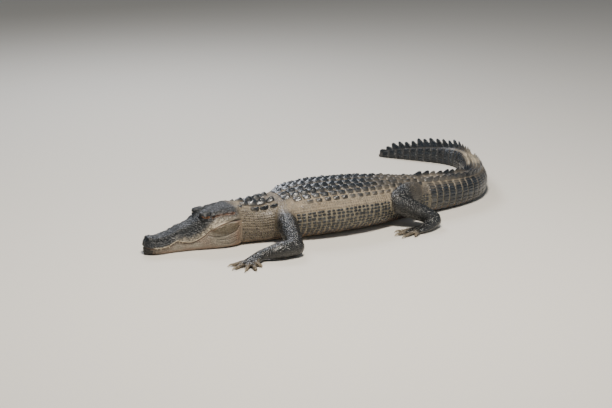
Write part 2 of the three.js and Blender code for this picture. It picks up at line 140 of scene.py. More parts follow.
# Limbs: the points of each bone, with the limb's half width and half height there, and the tips of
# the digits in plan, in millimetres.
LIMBS = {
    "front_left": {
        "upper": [(-255, -70, 104, 46, 46), (-290, -166, 82, 40, 40), (-324, -256, 42, 35, 38)],
        "lower": [(-324, -264, 38, 35, 36), (-393, -258, 35, 35, 31), (-462, -236, 24, 24, 19)],
        "palm": [(-462, -232, 22, 24, 18), (-500, -246, 15, 29, 14), (-532, -256, 10, 31, 11)],
        "digits": [(-592, -236), (-600, -272), (-578, -308), (-548, -328), (-508, -304)],
    },
    "front_right": {
        "upper": [(-244, 100, 100, 46, 44), (-238, 186, 80, 40, 40), (-228, 268, 44, 34, 36)],
        "lower": [(-230, 276, 40, 34, 35), (-244, 316, 36, 34, 30), (-256, 354, 24, 24, 19)],
        "palm": [(-256, 354, 22, 24, 18), (-262, 382, 15, 29, 14), (-268, 406, 10, 31, 11)],
        "digits": [(-314, 444), (-296, 470), (-262, 476), (-230, 458), (-216, 420)],
    },
    "hind_left": {
        "upper": [(412, -66, 90, 46, 50), (328, -126, 110, 53, 53), (242, -162, 104, 46, 47)],
        "lower": [(246, -174, 98, 42, 43), (310, -228, 66, 37, 37), (366, -262, 36, 27, 29)],
        "palm": [(366, -268, 28, 27, 26), (316, -286, 16, 30, 16), (262, -288, 10, 35, 11)],
        "digits": [(196, -248), (170, -280), (176, -314), (212, -334)],
    },
    "hind_right": {
        "upper": [(334, 22, 92, 50, 46), (286, 90, 98, 52, 46), (246, 134, 92, 46, 42)],
        "lower": [(248, 146, 88, 42, 42), (308, 204, 60, 36, 36), (362, 244, 36, 27, 29)],
        "palm": [(362, 250, 28, 27, 26), (312, 272, 16, 30, 16), (258, 280, 10, 35, 11)],
        "digits": [(192, 244), (164, 276), (168, 312), (202, 334)],
    },
}
LIMBS = {
    name: {part: np.array(rows) / 1000 for part, rows in limb.items()}
    for name, limb in LIMBS.items()
}
TOE_ROOT = 0.011  # half widths of a toe
TOE_TIP = 0.0065
CLAWED_DIGITS = 3
CLAW_LENGTH = 0.022
WEB_REACH = {"front": 0.3, "hind": 0.62}  # how far the webs reach along the toes
WEB_HEIGHTS = (0.002, 0.0085)

# The grid of the skin, and how many rounds of smoothing its joins get.
SKIN_VOXEL = 0.0036
SKIN_SMOOTHING = 8
HEAD_SMOOTHING = 2
EYE_REACH = 0.021  # how far round an eye the skin is finest

# Colours, as sRGB hex: wet black hide, dried river mud, and the pale skin of jaw and belly.
COLOURS = {
    "wet_black": 0x0E1114,
    "blue_black": 0x1C242D,
    "dry_black": 0x2A2B2F,
    "mud": 0x877A66,
    "pale_mud": 0x9E927E,
    "net": 0x77705F,
    "rust": 0x7A5134,
    "cream": 0xB3A68C,
    "neck_tan": 0x6E6556,
    "jaw_pale": 0x918A7D,
    "jaw_pink": 0x7F6F62,
    "pad_olive": 0x564C39,
    "lip_pale": 0xB9AD98,
    "mouth_dark": 0x2A1C14,
    "tail_brown": 0x302C26,
    "iris": 0x5E3A1C,
    "eye_dark": 0x120C08,
    "ivory": 0xCFC4A8,
    "horn": 0x5E574B,
    "horn_tip": 0x9C927D,
}


def linear(colour):
    """An sRGB hex colour as linear red, green and blue."""
    parts = [((colour >> shift) & 255) / 255 for shift in (16, 8, 0)]
    return np.array([c / 12.92 if c <= 0.04045 else ((c + 0.055) / 1.055) ** 2.4 for c in parts])


PAINTS = {name: linear(value) for name, value in COLOURS.items()}


def smooth_step(low, high, value):
    """0 below low, 1 above high, and a soft rise between."""
    share = np.clip((value - low) / (high - low), 0, 1)
    return share * share * (3 - 2 * share)


def ramp(low, full_from, full_to, high, value):
    """1 between two places, fading to 0 outside them."""
    return smooth_step(low, full_from, value) * (1 - smooth_step(full_to, high, value))


def mixed(colour, other, share):
    """Two colours, or paints by name, mixed by a share that may differ from point to point."""
    colour, other = (PAINTS[c] if isinstance(c, str) else c for c in (colour, other))
    share = np.clip(share, 0, 1)[..., None]
    return colour * (1 - share) + other * share


def layered(colour, *layers):
    """A colour with others laid over it in turn, each by its share."""
    for over, share in layers:
        colour = mixed(colour, over, share)
    return colour


WAVES = rng.normal(size=(24, 3))
WAVE_PHASE = rng.uniform(0, 2 * math.pi, 24)
WAVE_TURN = 2.4  # how far a wave turns over one patch, in radians


def blotches(points, size):
    """Smooth noise from -1 to 1 with patches of about a size."""
    total = np.zeros(points.shape[:-1])
    for wave, phase in zip(WAVES, WAVE_PHASE):
        total += np.sin(points @ (wave * WAVE_TURN / size) + phase)
    return np.tanh(total / 4)


def catmull(table, place):
    """The rows of a table read at fractional places on a smooth curve, and their slopes."""
    last = len(table) - 1
    place = np.clip(np.asarray(place, float), 0, last)
    index = np.minimum(place.astype(int), last - 1)
    w = (place - index)[..., None]
    padded = np.vstack([2 * table[0] - table[1], table, 2 * table[-1] - table[-2]])
    p0, p1, p2, p3 = (padded[index + k] for k in range(4))
    t1 = (p2 - p0) / 2
    t2 = (p3 - p1) / 2
    square = -3 * p1 + 3 * p2 - 2 * t1 - t2
    cube = 2 * p1 - 2 * p2 + t1 + t2
    return p1 + t1 * w + square * w**2 + cube * w**3, t1 + 2 * square * w + 3 * cube * w**2


def unit(vectors):
    """Vectors at length 1."""
    return vectors / np.maximum(np.linalg.norm(vectors, axis=-1, keepdims=True), 1e-9)


def trunk_point(station, degrees):
    """Points on the trunk. 0 degrees is the middle of the back, and 90 the left flank."""
    station, degrees = np.broadcast_arrays(station, degrees)
    row, slope = catmull(TRUNK, station)
    along = unit(slope[..., :2])
    across = np.stack([along[..., 1], -along[..., 0]], -1)
    side = np.sin(np.radians(degrees))
    rise = np.cos(np.radians(degrees))
    half, top, squareness = row[..., 2], row[..., 3], row[..., 4]
    middle = top * TRUNK_MIDDLE
    reach = np.where(rise > 0, top - middle, middle + FLOOR_DIP)
    power = np.where(rise > 0, 2 / BACK_SQUARENESS, 2 / squareness)
    out = half * np.sign(side) * np.abs(side) ** power
    z = middle + reach * np.sign(rise) * np.abs(rise) ** power
    return np.concatenate([row[..., :2] + across * out[..., None], np.maximum(z, 0)[..., None]], -1)


def head_point(u, v, z):
    """Points of the head from distances forward, to the left and up."""
    u, v, z = (value[..., None] for value in np.broadcast_arrays(u, v, z))
    return HEAD_BACK + FORWARD * u + LEFTWARD * v + UP * z


class Shell:
    """Vertices and faces gathered from many closed pieces."""

    def __init__(self):
        self.points = []
        self.faces = []

    def add_rings(self, rings):
        """Rings of points joined in order, with a flat face over each end."""
        rows, sides = rings.shape[:2]
        corner = np.arange(rows * sides).reshape(rows, sides) + len(self.points)
        beside = np.roll(corner, -1, axis=1)
        quads = np.stack([corner[:-1], beside[:-1], beside[1:], corner[1:]], -1)
        self.points += rings.reshape(-1, 3).tolist()
        self.faces += quads.reshape(-1, 4).tolist()
        self.faces += [corner[0, ::-1].tolist(), corner[-1].tolist()]

    def mesh(self, name):
        made = bpy.data.meshes.new(name)
        made.from_pydata(self.points, [], self.faces)
        made.update()
        return made


def tube_rings(bone, rings_each=8, sides=24):
    """A limb's tube with a round end before its first point and after its last."""
    last = len(bone) - 1
    turn = (np.arange(sides) + 0.5) * 2 * math.pi / sides
    table = np.array(bone)
    rings = []
    stops = [(0, angle, -1) for angle in (85, 60, 30)]
    stops += [(place, 0, 0) for place in np.linspace(0, last, last * rings_each + 1)]
    stops += [(last, angle, 1) for angle in (30, 60, 85)]
    for place, degrees, way in stops:
        angle = math.radians(degrees)
        row, slope = catmull(table, place)
        along = unit(slope[:3])
        across = unit(np.cross(UP, along))
        up = np.cross(along, across)
        centre = row[:3] + along * way * math.sin(angle) * min(row[3], row[4])
        ring = centre + across * (np.cos(turn) * row[3] * math.cos(angle))[:, None]
        ring = ring + up * (np.sin(turn) * row[4] * math.cos(angle))[:, None]
        rings.append(ring)
    rings = np.array(rings)
    rings[..., 2] = np.maximum(rings[..., 2], 0)
    return rings


def ball_rings(centre, half_sizes, rows=14, sides=20):
    """An ellipsoid on the head, given in the head's own directions."""
    polar = np.linspace(0.06, math.pi - 0.06, rows)[:, None]
    turn = np.linspace(0, 2 * math.pi, sides, endpoint=False)[None, :]
    u = centre[0] + half_sizes[0] * np.cos(polar) + 0 * turn
    v = centre[1] + half_sizes[1] * np.sin(polar) * np.cos(turn)
    z = centre[2] + half_sizes[2] * np.sin(polar) * np.sin(turn)
    return head_point(u, v, np.maximum(z, 0))


def mirrored(centre, side):
    """A place on the head's left side, or the same on its right where side is -1."""
    return (centre[0], centre[1] * side, centre[2])


def profile_ring(corners, u):
    """A closed ring through the corners of half a section and their mirror images."""
    whole = np.array(corners + [(-v, z) for v, z in reversed(corners[1:-1])])
    closed = np.vstack([whole, whole[:1]])
    length = np.concatenate([[0], np.cumsum(np.linalg.norm(np.diff(closed, axis=0), axis=1))])
    even = np.interp(np.linspace(0, length[-1], HEAD_SIDES, endpoint=False), length, np.arange(len(closed)))
    places = np.vstack([closed[-2:-1], closed, closed[1:2]])
    ring, _ = catmull(places, even + 1)
    return head_point(u, ring[:, 0], np.maximum(ring[:, 1], 0))


def skull_ring(row):
    """The section of the skull down to the mouth line."""
    u, lip, crown, top, mouth, _ = row
    rise = top - mouth
    return profile_ring([
        (0, top),
        (crown * 0.6, top - 0.001),
        (crown, top - rise * 0.06),
        (crown + (lip - crown) * 0.32, top - rise * 0.34),
        (crown + (lip - crown) * 0.68, top - rise * 0.6),
        (lip, mouth + rise * 0.2),
        (lip - 0.001, mouth + 0.002),
        (lip - 0.006, mouth),
        (0, mouth),
    ], u)


def jaw_ring(row):
    """The section of the lower jaw from the mouth line to the floor."""
    u, _, _, _, mouth, jaw = row
    return profile_ring([
        (0, mouth + 0.001),
        (max(jaw - 0.007, 0.001), mouth + 0.001),
        (max(jaw - 0.0025, 0.002), mouth - 0.0015),
        (jaw, mouth * 0.66),
        (jaw * 0.95, mouth * 0.34),
        (jaw * 0.84, mouth * 0.1),
        (jaw * 0.62, 0),
        (0, 0),
    ], u)


def toe_path(limb, digit):
    """The points of one toe, from the palm's end to its tip."""
    end, before = (np.array(limb["palm"][k][:3]) for k in (-1, -2))
    root = end + (before - end) * 0.35
    tip = np.array((*digit, TOE_TIP))
    middle = (root + tip) / 2
    return [
        (root[0], root[1], 0.01, TOE_ROOT, 0.009),
        (middle[0], middle[1], 0.0115, TOE_ROOT * 0.85, 0.0085),
        (tip[0], tip[1], TOE_TIP, TOE_TIP, TOE_TIP),
    ]


def web_rings(limb, toes, reach):
    """A flat web between two toes, from the palm out to a share of their length."""
    corners = [np.array(limb["palm"][1][:2])]
    for toe in toes:
        corners.append(np.array(toe_path(limb, toe)[0][:2]) * (1 - reach) + np.array(toe) * reach)
    return np.array([[(x, y, z) for x, y in corners] for z in WEB_HEIGHTS])


def rough_body():
    """Trunk, head and limbs as plain closed pieces that overlap."""
    body = Shell()
    stations = np.linspace(0, LAST_STATION, LAST_STATION * 8 + 1)[:, None]
    body.add_rings(trunk_point(stations, np.arange(72)[None, :] * 5.0 + 2.5))
    rows = catmull(HEAD, np.linspace(0, len(HEAD) - 1, 120))[0]
    for ring in (skull_ring, jaw_ring):
        body.add_rings(np.array([ring(row) for row in rows]))
    for side in (1, -1):
        for centre, sizes in HEAD_FORMS.values():
            body.add_rings(ball_rings(mirrored(centre, side), sizes))
    for name, limb in LIMBS.items():
        for bone in ("upper", "lower", "palm"):
            body.add_rings(tube_rings(limb[bone]))
        for digit in limb["digits"]:
            body.add_rings(tube_rings(toe_path(limb, digit), 6, 16))
        reach = WEB_REACH[name.split("_")[0]]
        for toes in zip(limb["digits"], limb["digits"][1:]):
            body.add_rings(web_rings(limb, toes, reach))
    return body.mesh("rough_body")


def link(name, data):
    """An object in the scene that holds a mesh, a camera or a light."""
    made = bpy.data.objects.new(name, data)
    bpy.context.scene.collection.objects.link(made)
    return made


def applied(piece, name):
    """The piece's mesh with its modifiers applied, and the piece itself taken away."""
    graph = bpy.context.evaluated_depsgraph_get()
    made = bpy.data.meshes.new_from_object(piece.evaluated_get(graph))
    made.name = name
    bpy.data.objects.remove(piece)
    return made


def rows_read(values, name, width, kind=np.float32):
    """One property of each of a mesh's points or edges, a row each."""
    flat = np.empty(len(values) * width, kind)
    values.foreach_get(name, flat)
    return flat.reshape(-1, width)


def coordinates(mesh):
    return rows_read(mesh.vertices, "co", 3).astype(float)


def normals(mesh):
    return rows_read(mesh.vertex_normals, "vector", 3).astype(float)


def edges_of(mesh):
    return rows_read(mesh.edges, "vertices", 2, np.int32)


def set_coordinates(mesh, points):
    """The mesh's points put in new places, none of them under the floor."""
    points[:, 2] = np.maximum(points[:, 2], 0.0)
    mesh.vertices.foreach_set("co", points.astype(np.float32).ravel())
    mesh.update()


def relaxed(points, edges, rounds, share):
    """Points moved towards the middle of their neighbours, by a share that may differ."""
    count = np.bincount(edges.ravel(), minlength=len(points))[:, None]
    for _ in range(rounds):
        total = np.stack([
            np.bincount(edges[:, 0], points[edges[:, 1], axis], len(points))
            + np.bincount(edges[:, 1], points[edges[:, 0], axis], len(points))
            for axis in range(3)
        ], -1)
        points = points + (total / np.maximum(count, 1) - points) * share[:, None]
    return points


def head_coordinates(points):
    """Distances forward, to the left and up from the back of the skull."""
    off = points - HEAD_BACK
    return off @ FORWARD, off @ LEFTWARD, points[:, 2]


STATION_GRID = np.linspace(0, LAST_STATION, LAST_STATION * 24 + 1)
STATION_ROWS, STATION_SLOPES = catmull(TRUNK, STATION_GRID)
STATION_ALONG = unit(STATION_SLOPES[:, :2])


def trunk_coordinates(points):
    """The nearest station, the angle round the trunk, and how far out of the trunk a point is."""
    tree = KDTree(len(STATION_ROWS))
    for index, row in enumerate(STATION_ROWS):
        tree.insert((row[0], row[1], 0), index)
    tree.balance()
    nearest = np.array([tree.find((x, y, 0))[1] for x, y in points[:, :2].tolist()])
    row = STATION_ROWS[nearest]
    along = STATION_ALONG[nearest]
    off = points[:, :2] - row[:, :2]
    side = off[:, 0] * along[:, 1] - off[:, 1] * along[:, 0]
    middle = row[:, 3] * TRUNK_MIDDLE
    rise = points[:, 2] - middle
    reach = np.where(rise > 0, row[:, 3] - middle, middle + FLOOR_DIP)
    power = np.where(rise > 0, BACK_SQUARENESS, row[:, 4])
    across = np.sign(side) * np.abs(side / row[:, 2]) ** (power / 2)
    up = np.sign(rise) * np.abs(rise / reach) ** (power / 2)
    outside = (np.hypot(across, up) - 1) * row[:, 2]
    return STATION_GRID[nearest], np.degrees(np.arctan2(across, up)), outside


def near_polyline(u, z, corners):
    """Distance in the side view from each point to a line through corners."""
    best = np.full(len(u), 1.0)
    for (u0, z0), (u1, z1) in zip(corners, corners[1:]):
        du, dz = u1 - u0, z1 - z0
        share = np.clip(((u - u0) * du + (z - z0) * dz) / (du * du + dz * dz), 0, 1)
        best = np.minimum(best, np.hypot(u - u0 - share * du, z - z0 - share * dz))
    return best


def groove(distance, half_width):
    """1 on a line, fading to nothing at about twice its half width."""
    return np.exp(-((distance / half_width) ** 2))


def head_row(u):
    """The head's table at distances forward."""
    return catmull(HEAD, np.interp(u, HEAD[:, 0], np.arange(len(HEAD))))[0]


def above_mouth(u, z):
    """Height over the mouth line."""
    return z - head_row(np.clip(u, 0, HEAD_LENGTH))[:, 4]


def carve_head(points, normal):
    """The head's folds, lips, sockets and bony roughness, as moves of the skin's points."""
    u, v, z = head_coordinates(points)
    side = np.abs(v)
    gap = above_mouth(u, z)
    on_head = smooth_step(-0.03, 0.0, u) * (side < 0.12)
    facing = smooth_step(0.25, 0.6, np.abs(normal @ LEFTWARD) + 0.6 * (u > 0.355))
    on_side = facing * on_head
    lips = ramp(0.004, 0.014, 0.372, 0.38, u) * facing
    depth = np.zeros(len(points))
    for height, rise, half_width in LIP_PROFILE:
        depth += rise * groove(gap - height, half_width) * lips
    for fold_depth, half_width, corners in FOLDS.values():
        depth -= fold_depth * groove(near_polyline(u, z, corners), half_width) * on_side
    upper = smooth_step(0.004, 0.012, gap) * on_head
    rough = 0.001 * blotches(points, 0.014) + 0.0006 * blotches(points[:, ::-1], 0.0065)
    depth += upper * rough * smooth_step(0.0, 0.02, u)
    skull_edge = ramp(0.0, 0.012, 0.092, 0.11, u) * groove(side - 0.047, 0.006)
    depth += 0.003 * skull_edge * smooth_step(0.6, 0.85, normal[:, 2])
    for pit in (1, -1):
        far = np.linalg.norm(points - head_point(*mirrored(NOSTRIL, pit)), axis=1)
        depth -= 0.004 * groove(far, 0.0042)
        depth += 0.0012 * groove(far - 0.0085, 0.0025)
    return open_eyes(points + normal * depth[:, None])


def lid_place(points, side):
    """Where points are round an eye: distance, direction, and under 1 inside the lids' opening."""
    off = points - head_point(*mirrored(EYE, side))
    far = np.linalg.norm(off, axis=-1)
    way = off / np.maximum(far, 1e-9)[..., None]
    ahead = way @ FORWARD
    out = way @ (LEFTWARD * side)
    tilt = way[..., 2] - 0.02 - 0.14 * ahead
    opening = (ahead / LID_OPENING[0]) ** 2 + (tilt / LID_OPENING[1]) ** 2 + 8 * (out < 0.2)
    return far, way, out, opening


def open_eyes(points):
    """Lids drawn over each eyeball, and the skin sunk behind it within the lids' opening."""
    for side in (1, -1):
        far, way, out, opening = lid_place(points, side)
        inside = 1 - smooth_step(0.85, 1.1, opening)
        near = (far < EYE_RADIUS * 1.7) & (out > -0.2)
        lid = np.maximum(far, EYE_RADIUS * (1.12 + 0.09 * groove(opening - 1.45, 0.4)))
        sunk = EYE_RADIUS * 0.72
        wanted = lid * (1 - inside) + sunk * inside
        hold = np.where(near, 1 - smooth_step(EYE_RADIUS * 1.3, EYE_RADIUS * 1.7, far), 0)
        hold = np.maximum(hold, inside * near)
        points = points + way * ((wanted - far) * hold)[:, None]
    return points


def finer(mesh, wanted):
    """The faces that hold only wanted points, each cut into four."""
    work = bmesh.new()
    work.from_mesh(mesh)
    work.verts.ensure_lookup_table()
    edges = [e for e in work.edges if wanted[e.verts[0].index] and wanted[e.verts[1].index]]
    bmesh.ops.subdivide_edges(work, edges=edges, cuts=1, use_grid_fill=True)
    work.to_mesh(mesh)
    work.free()
    mesh.update()


def make_skin():
    """The rough body joined into one closed skin, smoothed, and carved where the head is."""
    rough = link("rough_body", rough_body())
    remesh = rough.modifiers.new("one_skin", "REMESH")
    remesh.mode = "VOXEL"
    remesh.voxel_size = SKIN_VOXEL
    mesh = applied(rough, "skin")
    points = coordinates(mesh)
    edges = edges_of(mesh)
    u = head_coordinates(points)[0]
    body = 1 - smooth_step(-0.01, 0.05, u)
    points = relaxed(points, edges, SKIN_SMOOTHING, 0.5 * body)
    set_coordinates(mesh, relaxed(points, edges, HEAD_SMOOTHING, np.full(len(points), 0.5)))
    finer(mesh, u > -0.02)
    points = coordinates(mesh)
    beside_eye = [lid_place(points, side)[0] < EYE_REACH for side in (1, -1)]
    finer(mesh, beside_eye[0] | beside_eye[1])
    points = relaxed(coordinates(mesh), edges_of(mesh), 2, np.full(len(mesh.vertices), 0.4))
    set_coordinates(mesh, points)
    set_coordinates(mesh, carve_head(points, normals(mesh)))
    return mesh


# Scale shapes: marks of their grid from -1 to 1, how square they are, how deep the rim sinks, how
# thick the plate stands, how far it domes, and the height and width of its keel.
SHAPES = {
    "back": ((-1, -0.9, -0.65, -0.3, 0, 0.3, 0.65, 0.9, 1), 5.0, 0.004, 0.0022, 0.0014, 0.0085, 0.24),
    "nuchal": ((-1, -0.9, -0.6, -0.3, 0, 0.3, 0.6, 0.9, 1), 3.0, 0.005, 0.004, 0.003, 0.013, 0.34),
    "upper_flank": ((-1, -0.88, 0, 0.88, 1), 3.0, 0.002, 0.0005, 0.0008, 0.0006, 0.4),
    "flank": ((-1, -0.9, -0.5, 0, 0.5, 0.9, 1), 2.7, 0.003, 0.001, 0.0014, 0.0006, 0.4),
    "belly": ((-1, -0.9, 0, 0.9, 1), 7.0, 0.002, 0.0008, 0.0002, 0.0, 0.4),
    "tail": ((-1, -0.92, -0.6, 0, 0.6, 0.92, 1), 10.0, 0.003, 0.001, 0.0012, 0.0014, 0.35),
    "crest": ((-1, -0.85, -0.6, -0.3, 0, 0.3, 0.6, 0.85, 1), 2.6, 0.006, 0.001, 0.001, 0.0, 0.3),
    "small": ((-1, -0.86, 0, 0.86, 1), 3.2, 0.001, 0.0008, 0.00015, 0.0, 0.5),
}
SHAPES["neck"] = SHAPES["flank"]
WHORLED = ("back", "tail")  # plates that meet at their sides, so that mud lies only between the rows


def grid_of(shape):
    """A plate's grid, rounded at the corners: along, across, and the share of the way out."""
    marks, squareness = np.array(SHAPES[shape][0], float), SHAPES[shape][1]
    p, q = np.meshgrid(marks, marks, indexing="ij")
    out = np.maximum(abs(p), abs(q))
    round_out = (abs(p) ** squareness + abs(q) ** squareness) ** (1 / squareness)
    share = out / np.maximum(round_out, 1e-9)
    return p * share, q * share, out


def relief(shape, p, q, out):
    """Height over the skin on a plate's grid, with the share of muddy rim and of keel."""
    _, _, sink, thick, dome, keel, keel_width = SHAPES[shape]
    inner = 1 - smooth_step(0.92, 1.0, out)
    ridge = np.exp(-((q / keel_width) ** 2)) * smooth_step(-0.95, 0.35, p) * inner
    ridge = ridge * (1 - 0.35 * smooth_step(0.4, 1.0, p))
    height = -sink + (sink + thick) * inner + dome * (1 - q**2) * (1 - 0.4 * p**2) * inner
    rim = smooth_step(0.86, 1.0, abs(p) if shape in WHORLED else out)
    return height + keel * ridge, rim, ridge


class ScaleSheet:
    """Scales gathered as grids of points, with a colour and a wetness at each point."""

    def __init__(self):
        self.sets = []

    def add(self, points, paint, wet):
        shape = points.shape
        self.sets.append((points, np.broadcast_to(paint, shape), np.broadcast_to(wet, shape[:-1])))

    def piece(self, name, material):
        """One object of all the scales, each with its own small square of the bake map."""
        loops, cells = [], []
        start = 0
        number = 0
        row_length = math.ceil(math.sqrt(sum(len(grid) for grid, _, _ in self.sets)))
        for grid, _, _ in self.sets:
            count, n = grid.shape[:2]
            corner = (np.arange(n - 1)[:, None] * n + np.arange(n - 1)[None, :]).ravel()
            quad = np.stack([corner, corner + n, corner + n + 1, corner + 1], -1)
            loops.append((start + per_plate(np.arange(count)) * n * n + quad).reshape(-1, 4))
            share = np.stack([quad // n, quad % n], -1) / (n - 1)
            cell = number + np.arange(count)
            place = per_plate(np.stack([cell % row_length, cell // row_length], -1))
            cells.append(((place + 0.05 + 0.9 * share) / row_length).reshape(-1, 2))
            start += count * n * n
            number += count
        points, paint, wet = (
            np.concatenate([part.reshape(-1, *part.shape[3:]) for part in parts])
            for parts in zip(*self.sets)
        )
        mesh = quad_mesh(name, points, np.concatenate(loops), np.concatenate(cells))
        return dressed(name, mesh, paint, material, wet)


def per_plate(values):
    """One value or place a plate, to go with every point of the plate's grid."""
    return values[:, None, None]


def quad_mesh(name, points, quads, cells):
    """A mesh of quads with its bake map."""
    mesh = bpy.data.meshes.new(name)
    mesh.vertices.add(len(points))
    mesh.loops.add(quads.size)
    mesh.loops.foreach_set("vertex_index", quads.astype(np.int32).ravel())
    mesh.polygons.add(len(quads))
    mesh.polygons.foreach_set("loop_start", np.arange(0, quads.size, 4, dtype=np.int32))
    mesh.update(calc_edges=True)
    set_coordinates(mesh, points)
    mesh.uv_layers.new(name="OFBake").data.foreach_set("uv", cells.astype(np.float32).ravel())
    return mesh


def dressed(name, mesh, paint, material, wet=None):
    """The mesh as a smooth object, with the colour and wetness of its points for its material."""
    flat = np.concatenate([np.clip(paint, 0, 1), np.ones((len(paint), 1))], 1)
    colours = mesh.attributes.new("paint", "FLOAT_COLOR", "POINT")
    colours.data.foreach_set("color", flat.astype(np.float32).ravel())
    if wet is not None:
        mesh.attributes.new("wet", "FLOAT", "POINT").data.foreach_set("value", wet.astype(np.float32))
    mesh.shade_smooth()
    mesh.materials.append(material)
    return link(name, mesh)


def on_trunk(tree, station, degrees, half_long, half_wide, shape, tall):
    """Plates bent to the trunk. Returns their points, rim, keel, and which of them were laid.

    half_long is in stations and half_wide in degrees. A plate is left out where a limb lies over it.
    """
    p, q, out = grid_of(shape)
    height, rim, ridge = relief(shape, p, q, out)
    offsets, kept = [], []
    for index, spot in enumerate(trunk_point(station, degrees)):
        found, _, _, distance = tree.find_nearest(Vector(spot))
        if distance < LIMB_CLEARANCE:
            offsets.append(np.array(found) - spot)
            kept.append(index)
    half_long, half_wide, tall = (
        per_plate(np.broadcast_to(value, station.shape)[kept]) for value in (half_long, half_wide, tall)
    )
    s = per_plate(station[kept]) + p * half_long
    d = per_plate(degrees[kept]) + q * half_wide
    ahead = trunk_point(s + 0.02, d) - trunk_point(s - 0.02, d)
    round_it = trunk_point(s, d + 0.5) - trunk_point(s, d - 0.5)
    normal = unit(np.cross(round_it, ahead))
    lift = np.where(height > 0, height * tall, height)
    points = trunk_point(s, d) + normal * lift[..., None] + per_plate(np.array(offsets))
    return points, rim, ridge, kept


def crossed(stations, degrees):
    """Every station with every angle, on both sides of the body."""
    both = np.array(sorted({side * angle for angle in degrees for side in (1, -1)}))
    s, d = np.meshgrid(stations, both, indexing="ij")
    return s.ravel(), d.ravel()


def even_stations(start, end, pitch):
    """Stations a pitch apart along the body, and the half length of a scale there in stations."""
    fine = np.linspace(start, end, 400)
    plan = trunk_point(fine, 0.0)[:, :2]
    run = np.concatenate([[0], np.cumsum(np.linalg.norm(np.diff(plan, axis=0), axis=1))])
    count = round(run[-1] / pitch)
    edges = np.interp(np.linspace(0, run[-1], count + 1), run, fine)
    return (edges[1:] + edges[:-1]) / 2, (edges[1:] - edges[:-1]) / 2


def rows_of(start, end, pitch, angles):
    """The stations, angles and half lengths of all scales in rows along the body."""
    stations, halves = even_stations(start, end, pitch)
    s, d = crossed(stations, angles)
    return s, d, np.interp(s, stations, halves)


NEIGHBOURS = [(i, j, k) for i in (-1, 0, 1) for j in (-1, 0, 1) for k in (-1, 0, 1)]


def spread(points, spacing):
    """Indices of points that stay a spacing apart, taken in a seeded random order."""
    taken, kept = {}, []
    cells = np.floor(points / spacing).astype(int)
    for index in rng.permutation(len(points)).tolist():
        i, j, k = cells[index].tolist()
        x, y, z = points[index].tolist()
        free = True
        for key in NEIGHBOURS:
            for other in taken.get((i + key[0], j + key[1], k + key[2]), ()):
                if (x - other[0])**2 + (y - other[1])**2 + (z - other[2])**2 < spacing * spacing:
                    free = False
        if free:
            taken.setdefault((i, j, k), []).append((x, y, z))
            kept.append(index)
    return np.array(kept)


def flat_scales(spots, normal, along, half, tall):
    """Small scales set square to the skin at spots, pointing along the limb or the body."""
    p, q, out = grid_of("small")
    height, rim, _ = relief("small", p, q, out)
    forward = unit(along - normal * (along * normal).sum(-1, keepdims=True))
    beside = np.cross(normal, forward)
    turn = rng.normal(0, 0.18, len(spots))[:, None]
    ahead = forward * np.cos(turn) + beside * np.sin(turn)
    beside = np.cross(normal, ahead)
    long = per_plate(half * rng.uniform(0.95, 1.15, len(spots)))[..., None]
    wide = per_plate(half * rng.uniform(0.8, 1.0, len(spots)))[..., None]
    points = per_plate(spots) + per_plate(ahead) * p[..., None] * long
    points = points + per_plate(beside) * q[..., None] * wide
    lift = np.where(height > 0, height * tall, height)
    return points + per_plate(normal) * lift[..., None], rim


# Rows of plates along the back: the stations they run between, the length of a plate in metres,
# their angles from the middle of the back, the share of their length that is plate, and their half
# width in degrees.
BACK_ROWS = [
    (2.05, 7.5, 0.037, (8,), 0.98, 7.6),
    (2.05, 7.5, 0.037, (22,), 0.98, 7.2),
    (2.4, 7.3, 0.037, (36,), 0.93, 6.6),
    (2.8, 6.9, 0.037, (49,), 0.74, 4.8),
]
# Single pairs of plates on the neck: station, angle, half length in stations, half width in degrees.
NUCHALS = [(0.42, 14, 0.2, 8.5), (0.82, 12, 0.27, 10.5), (1.2, 13, 0.27, 10.5), (0.8, 36, 0.2, 7.5),
           (1.22, 36, 0.2, 7.0), (1.62, 15, 0.2, 8.0), (0.16, 26, 0.1, 6.0), (1.62, 38, 0.17, 6.5)]
NUCHAL_HALF = 0.22  # a nuchal plate of this half length stands at its full height
# Rows of scales on the sides and below, with the same first four values as the rows of the back.
NECK_ROWS = (0.05, 2.1, 0.0092, range(45, 140, 7))
UPPER_FLANK_ROWS = (2.1, 7.4, 0.0115, (57, 63, 69.5))
FLANK_ROWS = (2.1, 7.4, 0.0195, range(76, 133, 7))
BELLY_ROWS = (0.2, 7.4, 0.023, range(140, 181, 8))
# Whorls of the tail: the stations they run between and their length in metres, and then the angles
# of the scales with their half width in degrees.
TAIL = (7.5, 19.6, 0.0362)
TAIL_WHORLS = (
    ((9,), 8.6),
    ((41, 52, 62.5, 73, 83.5, 94, 105, 117, 130), 5.7),
    ((146, 162, 180), 8.4),
)
# Rows of blades on the tail, first two and then one, with their height at the end.
CRESTS = ((7.5, 13.5, 0.0385, (25,), 0.019), (13.5, 19.85, 0.033, (0,), 0.037))
LIMB_CLEARANCE = 0.006  # a plate further than this from the skin has a limb over it

# Small scales: how far apart they lie, how tall they stand, and how light their crowns are.
SMALL = {
    "limb": (0.0068, 0.6, 0.4),
    "foot": (0.0052, 0.6, 0.5),
    "neck": (0.0076, 1.0, 0.7),
    "cheek": (0.006, 0.3, 0.8),
    "skull": (0.0074, 0.4, 0.75),
}
SMALL_HALF = 0.72  # half size of a small scale, as a share of the spacing
BODY_ALONG = np.array((1.0, -0.1, 0.0))


def seen_from_back(degrees, low, high):
    """1 where the angle from the middle of the back is under low, 0 past high."""
    return 1 - smooth_step(low, high, abs(degrees))


